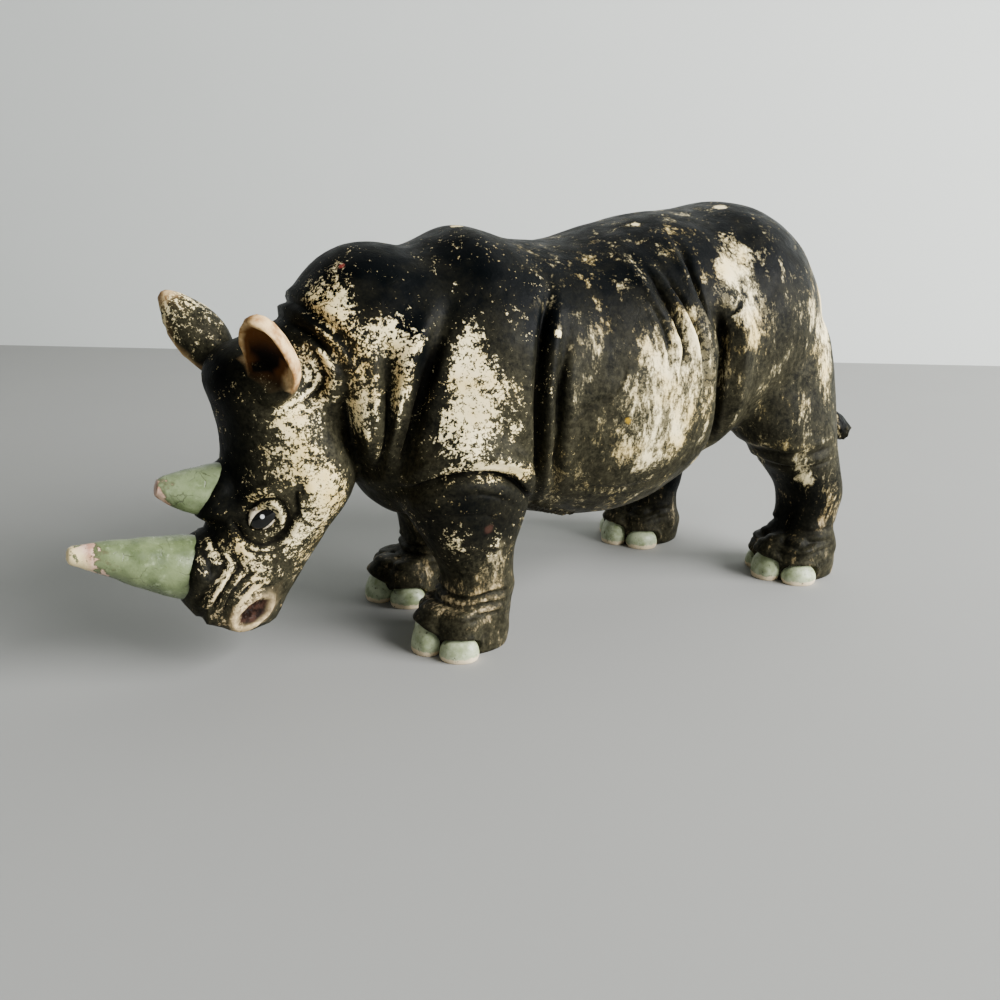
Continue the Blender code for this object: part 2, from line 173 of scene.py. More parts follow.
def tube(stations: tuple, steps: int = 6, points: int = 40) -> bmesh.types.BMesh:
    """Draws a round form along a smooth line.

    Args:
        stations: Rows of x, y, z and radius.
        steps: Rings from each station to the next.
        points: Points round each ring.

    Returns:
        The closed form.
    """
    path = blended(stations, steps)
    heading = np.gradient(path[:, :3], axis=0)
    angles = ring_angles(points)
    flat = np.column_stack([np.cos(angles), np.sin(angles), np.zeros(points)])
    rings = []
    for station, forward in zip(path, heading):
        turn = Vector(forward).to_track_quat("Z", "Y").to_matrix()
        rings.append(station[:3] + station[3] * flat @ np.array(turn).T)
    return loft(rings)


def as_mesh(bm: bmesh.types.BMesh, name: str) -> bpy.types.Mesh:
    """Turns a bmesh into a mesh and frees it.

    Args:
        bm: The form, which is used up.
        name: The mesh's name.

    Returns:
        The mesh.
    """
    mesh = bpy.data.meshes.new(name)
    bm.to_mesh(mesh)
    bm.free()
    return mesh


def in_scene(name: str, data: bpy.types.ID) -> bpy.types.Object:
    """Puts a mesh, a light or a camera in the scene under a name.

    Args:
        name: The object's name.
        data: The mesh, light or camera.

    Returns:
        The object.
    """
    made = bpy.data.objects.new(name, data)
    bpy.context.scene.collection.objects.link(made)
    return made


def joined(forms: list) -> bpy.types.Mesh:
    """Puts forms into one mesh and frees them.

    Args:
        forms: Bmeshes and meshes, in grid units.

    Returns:
        One mesh that holds them all.
    """
    whole = bmesh.new()
    for form in forms:
        piece = as_mesh(form, "piece") if isinstance(form, bmesh.types.BMesh) else form
        whole.from_mesh(piece)
        bpy.data.meshes.remove(piece)
    return as_mesh(whole, "joined")


def modified(
    mesh: bpy.types.Mesh, kind: str, weights: np.ndarray | None = None, **settings: object
) -> bpy.types.Mesh:
    """Applies one modifier to a mesh.

    Args:
        mesh: The mesh, which is used up.
        kind: The modifier's kind.
        weights: A weight for each vertex, for the modifier's vertex group.
        settings: The modifier's settings.

    Returns:
        The new mesh.
    """
    holder = in_scene("form", mesh)
    step = holder.modifiers.new("step", kind)
    for name, value in settings.items():
        setattr(step, name, value)
    if weights is not None:
        group = holder.vertex_groups.new(name="kept")
        for level in range(1, 11):
            chosen = np.flatnonzero(np.ceil(weights * 10) == level)
            group.add(chosen.tolist(), level / 10, "REPLACE")
        step.vertex_group = "kept"
    graph = bpy.context.evaluated_depsgraph_get()
    made = bpy.data.meshes.new_from_object(holder.evaluated_get(graph))
    bpy.data.objects.remove(holder)
    bpy.data.meshes.remove(mesh)
    return made


def places(mesh: bpy.types.Mesh) -> np.ndarray:
    """Each vertex's place, one row each.

    Args:
        mesh: The mesh.

    Returns:
        The places, in the mesh's own units.
    """
    flat = np.empty(len(mesh.vertices) * 3, np.float32)
    mesh.vertices.foreach_get("co", flat)
    return flat.reshape(-1, 3).astype(float)


def outwards(mesh: bpy.types.Mesh) -> np.ndarray:
    """Each vertex's normal, one row each.

    Args:
        mesh: The mesh.

    Returns:
        The normals, of unit length.
    """
    flat = np.empty(len(mesh.vertices) * 3, np.float32)
    mesh.vertex_normals.foreach_get("vector", flat)
    return flat.reshape(-1, 3).astype(float)


def moved(mesh: bpy.types.Mesh, points: np.ndarray) -> bpy.types.Mesh:
    """Puts a mesh's vertices at new places, and returns the mesh.

    Args:
        mesh: The mesh, which is changed.
        points: A place for each vertex.

    Returns:
        The same mesh.
    """
    mesh.vertices.foreach_set("co", points.astype(np.float32).ravel())
    mesh.update()
    return mesh


def raised(mesh: bpy.types.Mesh, move: np.ndarray) -> bpy.types.Mesh:
    """Moves each vertex out along its normal, and returns the mesh."""
    return moved(mesh, places(mesh) + outwards(mesh) * move[:, None])


def cut_level(bm: bmesh.types.BMesh, height: float) -> None:
    """Cuts off what is below a height, and closes each cut with one flat face.

    Args:
        bm: The form.
        height: The lowest height that is kept, in grid units.
    """
    cut = bmesh.ops.bisect_plane(
        bm, geom=bm.verts[:] + bm.edges[:] + bm.faces[:], plane_co=(0, 0, height),
        plane_no=(0, 0, 1), clear_inner=True,
    )
    rims = [part for part in cut["geom_cut"] if isinstance(part, bmesh.types.BMEdge)]
    bmesh.ops.holes_fill(bm, edges=rims, sides=0)
    bmesh.ops.recalc_face_normals(bm, faces=bm.faces)


def marked(mesh: bpy.types.Mesh, name: str, values: np.ndarray) -> None:
    """Stores one number for each vertex under a name that materials can read."""
    layer = mesh.attributes.new(name, "FLOAT", "POINT")
    layer.data.foreach_set("value", values.astype(np.float32))


def grain(points: np.ndarray, size: float, seed: float) -> np.ndarray:
    """Smooth random numbers from -1 to 1 over the grid.

    Args:
        points: Places in grid units.
        size: Rough width of one lump, in grid units.
        seed: Shifts the pattern.

    Returns:
        One number for each point.
    """
    shifted = points / size + seed
    return np.array([noise.noise(row) for row in shifted.tolist()])


def oval_reach(points: np.ndarray, middle: tuple, radii: tuple, tilt: float) -> np.ndarray:
    """Measures points from the middle of an oval in side view.

    Args:
        points: Places in grid units.
        middle: The oval's middle, x and z.
        radii: Its half length and half height.
        tilt: Its turn from level, in degrees.

    Returns:
        One distance for each point, 1 at the oval's edge.
    """
    turn = math.radians(tilt)
    away = points[:, [0, 2]] - np.array(middle)
    along = away[:, 0] * math.cos(turn) + away[:, 1] * math.sin(turn)
    across = away[:, 1] * math.cos(turn) - away[:, 0] * math.sin(turn)
    return np.hypot(along / radii[0], across / radii[1])


def beside(points: np.ndarray, line: tuple, steps: int = 6) -> tuple:
    """Measures points against a line in side view.

    Args:
        points: Places in grid units.
        line: Points of the line, each x and z.
        steps: Straight runs from each point of the line to the next.

    Returns:
        Each point's distance, signed by side, and its share of the way along the line.
    """
    path = blended(line, steps)
    flat = points[:, [0, 2]]
    nearest = np.full(len(flat), np.inf)
    signed = np.zeros(len(flat))
    along = np.zeros(len(flat))
    for number, (start, end) in enumerate(zip(path, path[1:])):
        step = end - start
        share = np.clip((flat - start) @ step / (step @ step), 0.0, 1.0)
        away = flat - start - share[:, None] * step
        distance = np.hypot(away[:, 0], away[:, 1])
        closer = distance < nearest
        turned = step[0] * away[:, 1] - step[1] * away[:, 0]
        nearest = np.where(closer, distance, nearest)
        signed = np.where(closer, np.sign(turned) * distance, signed)
        along = np.where(closer, (number + share) / (len(path) - 1), along)
    return signed, along


def horn_clearance(points: np.ndarray, stations: tuple) -> np.ndarray:
    """Each point's distance from the skin of a round tapered form.

    Args:
        points: Places in grid units.
        stations: Rows of x, y, z and radius along the form.

    Returns:
        One distance for each point, below zero inside the form.
    """
    path = np.array(stations)
    nearest = np.full(len(points), np.inf)
    for start, end in zip(path, path[1:]):
        step = end[:3] - start[:3]
        share = np.clip((points - start[:3]) @ step / (step @ step), 0.0, 1.0)
        away = np.linalg.norm(points - start[:3] - share[:, None] * step, axis=1)
        nearest = np.minimum(nearest, away - start[3] - share * (end[3] - start[3]))
    return nearest


# Shapes of the animal


@dataclass(frozen=True)
class Slice:
    """One cut across a body: its upper and lower ends in the spine's plane, and its width."""

    top: tuple
    bottom: tuple
    half_width: float
    widest: float = 0.5
    fullness: float = 2.2


@dataclass(frozen=True)
class Level:
    """One level cut across a leg: its height, its ends along the body and its sides."""

    height: float
    front: float
    back: float
    inner: float
    outer: float


@dataclass(frozen=True)
class Swelling:
    """A muscle or bone under the hide, or a hollow where the rise is negative."""

    centre: tuple
    radii: tuple
    rise: float

    def lift(self, points: np.ndarray) -> np.ndarray:
        """How far this moves each point out, on both flanks.

        Args:
            points: Places in grid units.

        Returns:
            One lift for each point.
        """
        move = np.zeros(len(points))
        for side in (-1, 1):
            away = (points - np.array(self.centre) * (1, side, 1)) / np.array(self.radii)
            move += self.rise * np.exp(-(away**2).sum(axis=1))
        return move


@dataclass(frozen=True)
class Fold:
    """A crease along a line in side view, with a soft lip on one side of it."""

    line: tuple
    depth: float
    width: float
    lip: float = 0.0
    lip_side: int = 1
    side: Side = Side.BOTH
    fade: float = 0.3
    lip_offset: float = 1.6
    lip_width: float = 1.2

    def lift(self, points: np.ndarray) -> np.ndarray:
        """How far this moves each point out or in.

        Args:
            points: Places in grid units.

        Returns:
            One lift for each point, below zero in the groove.
        """
        corners = np.array(self.line)
        margin = self.width * 5 + 1
        flat = points[:, [0, 2]]
        near = (flat > corners.min(axis=0) - margin) & (flat < corners.max(axis=0) + margin)
        chosen = near.all(axis=1)
        if self.side is not Side.BOTH:
            chosen &= points[:, 1] * self.side.value > 0
        move = np.zeros(len(points))
        signed, along = beside(points[chosen], self.line)
        fade = eased(np.minimum(along, 1 - along) / self.fade)
        away = signed * self.lip_side - self.lip_offset * self.width
        groove = self.depth * np.exp(-((signed / self.width) ** 2))
        lip = self.lip * np.exp(-((away / (self.lip_width * self.width)) ** 2))
        move[chosen] = (lip - groove) * fade
        return move


@dataclass(frozen=True)
class Patch:
    """An oval in side view where the paint is rubbed, or kept where the amount is negative."""

    centre: tuple
    radii: tuple
    amount: float
    tilt: float = 0.0

    def amount_at(self, points: np.ndarray) -> np.ndarray:
        """The rubbing that this adds at each point."""
        reach = oval_reach(points, self.centre, self.radii, self.tilt)
        return self.amount * (1 - eased((reach - 0.45) / 0.95))


@dataclass(frozen=True)
class Strokes:
    """Rows of short raised ridges under the left of the belly, plain strokes that spell nothing."""

    start: tuple = (12.5, -14.6, 22.6)
    end: tuple = (22.5, -11.6, 19.6)
    rows: int = 2
    row_gap: float = 1.9
    count: int = 11
    length: float = 0.75
    breadth: float = 0.3
    rise: float = 0.45

    def lift(self, points: np.ndarray) -> np.ndarray:
        """How far the ridges move each point out.

        Args:
            points: Places in grid units.

        Returns:
            One lift for each point.
        """
        move = np.zeros(len(points))
        start, end = np.array(self.start), np.array(self.end)
        along = (end - start) / np.linalg.norm(end - start)
        near = np.linalg.norm(points - (start + end) / 2, axis=1) < np.linalg.norm(end - start)
        chosen = points[near]
        away = chosen - start
        run = away @ along
        aside = away[:, 1] - run * along[1]
        step = np.linalg.norm(end - start) / (self.count - 1)
        lifted = np.zeros(len(chosen))
        for row in range(self.rows):
            for number in range(self.count):
                reach = (run - number * step - 0.4 * row) / self.breadth
                spread = (aside - row * self.row_gap) / self.length
                lifted += self.rise * np.exp(-(reach**2) - spread**4)
        move[near] = lifted
        return move


@dataclass
class Piece:
    """A finished mesh of the figurine with its material."""

    name: str
    mesh: bpy.types.Mesh
    material: bpy.types.Material


@dataclass
class Trunk:
    """The torso and the head, each a skin over slices that stand across the spine."""

    ring_points: int = 40
    # From the tail's root along the back to the nape
    torso: tuple = (
        Slice((85.6, 46.0), (85.6, 39.0), 3.5),
        Slice((84.4, 54.5), (85.0, 33.0), 9.2),
        Slice((81.2, 62.3), (81.8, 30.5), 13.8),
        Slice((76.2, 69.5), (76.5, 29.0), 17.8),
        Slice((70.0, 73.7), (69.0, 29.5), 21.0),
        Slice((62.5, 75.1), (61.0, 29.5), 22.4),
        Slice((54.0, 73.9), (53.0, 26.0), 23.0, 0.46),
        Slice((44.0, 73.3), (44.0, 20.5), 24.8, 0.46),
        Slice((34.0, 71.2), (34.0, 17.4), 25.8, 0.45),
        Slice((24.0, 69.0), (24.0, 17.8), 25.0, 0.45),
        Slice((14.0, 69.6), (14.0, 20.0), 23.0, 0.45),
        Slice((5.0, 72.0), (5.0, 22.0), 21.5, 0.42),
        Slice((-4.0, 68.9), (-4.0, 22.0), 19.5, 0.42),
        Slice((-11.4, 69.8), (-10.0, 23.0), 17.5, 0.42),
        Slice((-18.6, 67.8), (-14.0, 27.2), 15.0, 0.45),
        Slice((-24.8, 61.2), (-17.0, 33.0), 12.6),
        Slice((-29.0, 55.0), (-21.0, 40.0), 9.5),
    )
    # From the poll down the face to the lips
    head: tuple = (
        Slice((-31.4, 56.0), (-21.0, 47.0), 7.0),
        Slice((-37.4, 53.8), (-17.5, 42.0), 10.0, 0.55),
        Slice((-39.8, 49.5), (-16.0, 37.0), 11.2, 0.52),
        Slice((-38.4, 43.6), (-16.0, 31.5), 11.4, 0.45),
        Slice((-37.8, 38.4), (-17.8, 26.5), 11.0, 0.42, 2.1),
        Slice((-38.6, 32.4), (-21.0, 22.0), 10.0, 0.45, 2.1),
        Slice((-40.5, 26.5), (-24.4, 17.5), 8.8, 0.5, 2.1),
        Slice((-44.6, 20.5), (-27.6, 13.4), 8.0, 0.5),
        Slice((-47.0, 15.0), (-30.2, 9.5), 8.0, 0.5, 2.4),
        Slice((-46.0, 11.2), (-32.0, 7.2), 7.4, 0.5, 2.4),
        Slice((-42.8, 8.4), (-34.5, 6.3), 4.8),
    )

    def skin(self, slices: tuple, steps: int = 5) -> bmesh.types.BMesh:
        """Draws the skin over a row of slices.

        Args:
            slices: The cuts, in order.
            steps: Rings from each cut to the next.

        Returns:
            The closed form.
        """
        rows = [
            (*cut.top, *cut.bottom, cut.half_width, cut.widest, cut.fullness) for cut in slices
        ]
        angles = ring_angles(self.ring_points)
        rings = []
        for top_x, top_z, low_x, low_z, half_width, widest, fullness in blended(rows, steps):
            top = np.array([top_x, 0, top_z])
            low = np.array([low_x, 0, low_z])
            middle = low + (top - low) * widest
            upward = rounded(np.sin(angles), fullness)[:, None]
            reach = np.where(upward > 0, upward * (top - middle), upward * (middle - low))
            side = rounded(np.cos(angles), fullness)[:, None]
            rings.append(middle + reach + side * np.array([0, half_width, 0]))
        return loft(rings)

    def forms(self) -> list:
        """The torso and the head."""
        return [self.skin(self.torso), self.skin(self.head)]


@dataclass
class Legs:
    """Four legs as stacks of level cuts, from below the sole up into shoulder and hip."""

    ring_points: int = 40
    fullness: float = 2.3
    left_front_foot: tuple = (0.0, 0.0)
    right_front_foot: tuple = (1.6, -0.6)
    left_hind_foot: tuple = (77.0, -16.2)
    right_hind_foot: tuple = (61.5, 16.2)
    left_front: tuple = (
        Level(-1.0, -7.6, 7.2, 6.2, 19.2),
        Level(3.0, -8.2, 7.8, 6.0, 19.8),
        Level(6.5, -7.4, 8.0, 6.0, 19.6),
        Level(10.0, -4.5, 8.6, 6.5, 19.3),
        Level(14.0, -4.6, 8.4, 6.5, 19.4),
        Level(19.0, -7.0, 8.6, 6.0, 20.5),
        Level(25.0, -10.5, 10.8, 5.0, 21.8),
        Level(31.0, -12.5, 12.5, 4.0, 23.0),
        Level(38.0, -11.5, 12.0, 3.0, 21.5),
        Level(45.0, -8.0, 9.0, 3.0, 18.0),
    )
    right_front: tuple = (
        Level(-1.0, -5.8, 7.0, 6.4, 19.4),
        Level(3.0, -6.2, 7.6, 6.2, 20.0),
        Level(6.5, -5.0, 7.8, 6.2, 19.8),
        Level(10.0, -2.4, 8.8, 6.5, 19.5),
        Level(14.0, -2.6, 8.8, 6.5, 19.5),
        Level(19.0, -3.6, 9.2, 6.0, 20.5),
        Level(25.0, -6.0, 11.0, 5.0, 21.8),
        Level(31.0, -9.5, 12.5, 4.0, 23.0),
        Level(38.0, -10.5, 12.0, 3.0, 21.5),
        Level(45.0, -8.0, 9.0, 3.0, 18.0),
    )
    hind: tuple = (
        Level(-1.0, -8.0, 7.6, -6.8, 7.2),
        Level(3.0, -8.6, 8.2, -7.2, 7.6),
        Level(6.0, -7.6, 7.8, -7.2, 7.6),
        Level(9.0, -4.8, 6.8, -6.5, 6.8),
        Level(13.0, -3.6, 7.6, -6.5, 6.5),
        Level(17.5, -4.2, 8.6, -7.0, 7.0),
        Level(22.0, -7.0, 7.4, -8.0, 7.2),
        Level(27.0, -11.8, 6.6, -9.5, 7.2),
        Level(32.0, -16.5, 6.4, -10.5, 7.0),
        Level(40.0, -19.0, 6.2, -11.0, 5.6),
        Level(49.0, -16.0, 4.4, -12.0, 4.2),
        Level(58.0, -11.0, 0.0, -12.0, 0.5),
    )

    def skin(self, levels: tuple, foot: tuple, side: Side, steps: int = 4) -> bmesh.types.BMesh:
        """Draws one leg.

        Args:
            levels: The cuts, from the sole up.
            foot: Where the leg's own zero stands on the grid, x and y.
            side: The flank that the leg is on.
            steps: Rings from each cut to the next.

        Returns:
            The closed form.
        """
        angles = ring_angles(self.ring_points)
        along = rounded(np.cos(angles), self.fullness)
        out = rounded(np.sin(angles), self.fullness)
        rings = []
        for height, front, back, inner, outer in blended([astuple(cut) for cut in levels], steps):
            x = foot[0] + (front + back) / 2 + (back - front) / 2 * along
            y = foot[1] + side.value * ((inner + outer) / 2 + (outer - inner) / 2 * out)
            rings.append(np.column_stack([x, y, np.full(self.ring_points, height)]))
        return loft(rings)

    def forms(self) -> list:
        """The four legs.

        Returns:
            Four closed forms.
        """
        return [
            self.skin(self.left_front, self.left_front_foot, Side.LEFT),
            self.skin(self.right_front, self.right_front_foot, Side.RIGHT),
            self.skin(self.hind, self.left_hind_foot, Side.LEFT),
            self.skin(self.hind, self.right_hind_foot, Side.RIGHT),
        ]


@dataclass(frozen=True)
class Ear:
    """A leaf-shaped ear on a round stalk, hollowed on the side that it faces."""

    base: tuple
    tip: tuple
    facing: tuple
    breadth: float = 1.0
    wall: float = 1.7
    ring_points: int = 56
    # Share of the ear's length, half width, depth, and how far the front is hollowed
    stations: tuple = (
        (-0.08, 3.0, 3.0, 0.0),
        (0.1, 4.4, 4.0, 0.25),
        (0.28, 5.4, 4.4, 0.8),
        (0.48, 5.6, 4.2, 1.0),
        (0.68, 4.6, 3.6, 1.0),
        (0.86, 2.9, 2.7, 0.9),
        (0.97, 1.3, 1.6, 0.4),
        (1.0, 0.7, 0.9, 0.0),
    )

    def axes(self) -> tuple:
        """The ear's base, its reach to the tip, its way across and its way to the front.

        Returns:
            Four arrays, the last two of unit length.
        """
        base = Vector(self.base)
        reach = Vector(self.tip) - base
        upward = reach.normalized()
        front = Vector(self.facing)
        front = (front - upward * front.dot(upward)).normalized()
        return np.array(base), np.array(reach), np.array(upward.cross(front)), np.array(front)

    def local(self, points: np.ndarray) -> tuple:
        """Each point's share of the way to the tip, its place across and its place to the front.

        Args:
            points: Places in grid units.

        Returns:
            Three arrays, one number each for each point.
        """
        base, reach, across, front = self.axes()
        away = points - base
        return away @ reach / (reach @ reach), away @ across, away @ front

    def form(self, steps: int = 6) -> bmesh.types.BMesh:
        """The closed ear.

        Args:
            steps: Rings from each station to the next.

        Returns:
            The form, in grid units.
        """
        base, reach, across, front = self.axes()
        angles = ring_angles(self.ring_points)
        rise = np.abs(np.sin(angles))
        before = np.sin(angles) > 0
        rings = []
        # The hollow starts a little inside the edge, so that the rim is a round roll
        sunk = np.clip((rise - 0.3) / 0.7, 0.0, 1.0)
        for share, half_width, depth, hollow in blended(self.stations, steps):
            cup = (1 - hollow) * depth * rise - hollow * (depth - self.wall) * sunk
            out = np.where(before, cup, -depth * rise)
            aside = self.breadth * half_width * np.cos(angles)
            rings.append(base + reach * share + np.outer(aside, across) + np.outer(out, front))
        return loft(rings)

    def share_at(self, points: np.ndarray) -> np.ndarray:
        """How far each point belongs to the ear, from 0 off it to 1 well up on it.

        Args:
            points: Places in grid units.

        Returns:
            One share for each point.
        """
        share, aside, ahead = self.local(points)
        beyond = eased((np.hypot(aside / 6.4, ahead / 5.2) - 0.9) / 0.16)
        before = eased((ahead - 0.1 - eased((share - 0.16) / 0.14)) / 0.5)
        return eased((share - 0.08) / 0.14) * (1 - beyond) * (1 - before)

    def hollow_at(self, points: np.ndarray, normals: np.ndarray) -> np.ndarray:
        """How deep each point lies in the ear's cup, from 0 to 1.

        Args:
            points: Places in grid units.
            normals: The way that each place faces.

        Returns:
            One number for each point, largest low down in the cup.
        """
        share, aside, ahead = self.local(points)
        rows = np.array(self.stations)
        width = self.breadth * np.interp(share, rows[:, 0], rows[:, 1])
        # The rim that faces backwards is broad and pale, the other one thin
        limit = np.where(aside > 0, 0.34, 0.74)
        inside = 1 - eased((np.abs(aside) / width - limit) / 0.24)
        facing = eased((normals @ self.axes()[-1] - 0.05) / 0.3)
        near = (share > 0.02) & (share < 0.97) & (ahead < 1.6) & (np.abs(aside) < 6)
        return inside * facing * near * (1 - 0.85 * eased((share - 0.12) / 0.82))

    def rim_at(self, points: np.ndarray) -> np.ndarray:
        """How far each point belongs to the ear's rim and tip, from 0 to 1.

        Args:
            points: Places in grid units.

        Returns:
            One number for each point.
        """
        share, aside, ahead = self.local(points)
        edge = eased((np.abs(aside) - 3.0) / 1.4) * eased((ahead + 1.4) / 1.4)
        tip = eased((share - 0.82) / 0.14)
        return np.maximum(edge * (share > 0.15), tip) * self.share_at(points)

    def along_at(self, points: np.ndarray) -> np.ndarray:
        """Each point's share of the way from the ear's base to its tip."""
        return np.clip(self.local(points)[0], 0.0, 1.0)


@dataclass(frozen=True)
class Toes:
    """Three domed nails round the front of one foot, each set in a fleshy toe."""

    name: str
    middle: tuple
    angles: tuple = (-60.0, 0.0, 60.0)
    reach: float = 6.8
    height: float = 1.9
    radii: tuple = (2.6, 3.4, 4.3)
    flesh_reach: float = 4.9
    flesh_height: float = 5.3
    flesh_radii: tuple = (3.5, 4.1, 3.4)
    lean: float = 14.0
    outer_height: float = 0.62
    outer_breadth: float = 1.04
    sole_gap: float = 0.02
    lump_rise: float = 0.16

    def shapes(self, reach: float, height: float, radii: tuple) -> list:
        """Where three balls of unit radius go to become nails or toes.

        Args:
            reach: How far out from the foot's middle they stand.
            height: The height of their middles.
            radii: Their three half sizes.

        Returns:
            One matrix for each ball.
        """
        lean = Matrix.Rotation(math.radians(self.lean), 4, "Y")
        made = []
        for degrees in self.angles:
            turn = math.radians(degrees)
            swing = Matrix.Rotation(-turn, 4, "Z")
            outer = abs(math.sin(turn))
            lower = 1 + outer * (self.outer_height - 1) * (radii is self.radii)
            broader = 1 + outer * (self.outer_breadth - 1)
            x = self.middle[0] - reach * math.cos(turn)
            y = self.middle[1] + reach * math.sin(turn)
            size = (radii[0], radii[1] * broader, radii[2] * lower, 1.0)
            place = Matrix.Translation((x, y, height * lower))
            made.append(place @ swing @ lean @ Matrix.Diagonal(size))
        return made

    def flesh(self) -> list:
        """The toes behind and over the nails.

        Returns:
            Three closed forms.
        """
        forms = []
        for shape in self.shapes(self.flesh_reach, self.flesh_height, self.flesh_radii):
            bm = bmesh.new()
            bmesh.ops.create_uvsphere(bm, u_segments=32, v_segments=16, radius=1.0, matrix=shape)
            forms.append(bm)
        return forms

    def clearance(self, points: np.ndarray) -> np.ndarray:
        """Each point's rough distance from the nearest nail's skin, below zero inside it.

        Args:
            points: Places in grid units.

        Returns:
            One distance for each point.
        """
        nearest = np.full(len(points), np.inf)
        ones = np.ones((len(points), 1))
        for shape in self.shapes(self.reach, self.height, self.radii):
            inside = np.array(shape.inverted())
            local = (np.hstack([points, ones]) @ inside.T)[:, :3]
            nearest = np.minimum(nearest, (np.linalg.norm(local, axis=1) - 1) * min(self.radii) * 1.3)
        return nearest

    def piece(self, material: bpy.types.Material) -> Piece:
        """The nails, cut level with the sole.

        Args:
            material: The paint of the nails.

        Returns:
            Three nails in one piece.
        """
        whole = bmesh.new()
        for shape in self.shapes(self.reach, self.height, self.radii):
            bmesh.ops.create_uvsphere(whole, u_segments=64, v_segments=32, radius=1.0, matrix=shape)
        cut_level(whole, self.sole_gap)
        mesh = as_mesh(whole, self.name)
        points = places(mesh)
        move = self.lump_rise * grain(points, 2.2, 8.2)
        lifted = points + outwards(mesh) * move[:, None]
        lifted[:, 2] = np.where(points[:, 2] < 0.1, points[:, 2], lifted[:, 2])
        return Piece(self.name, moved(mesh, lifted), material)


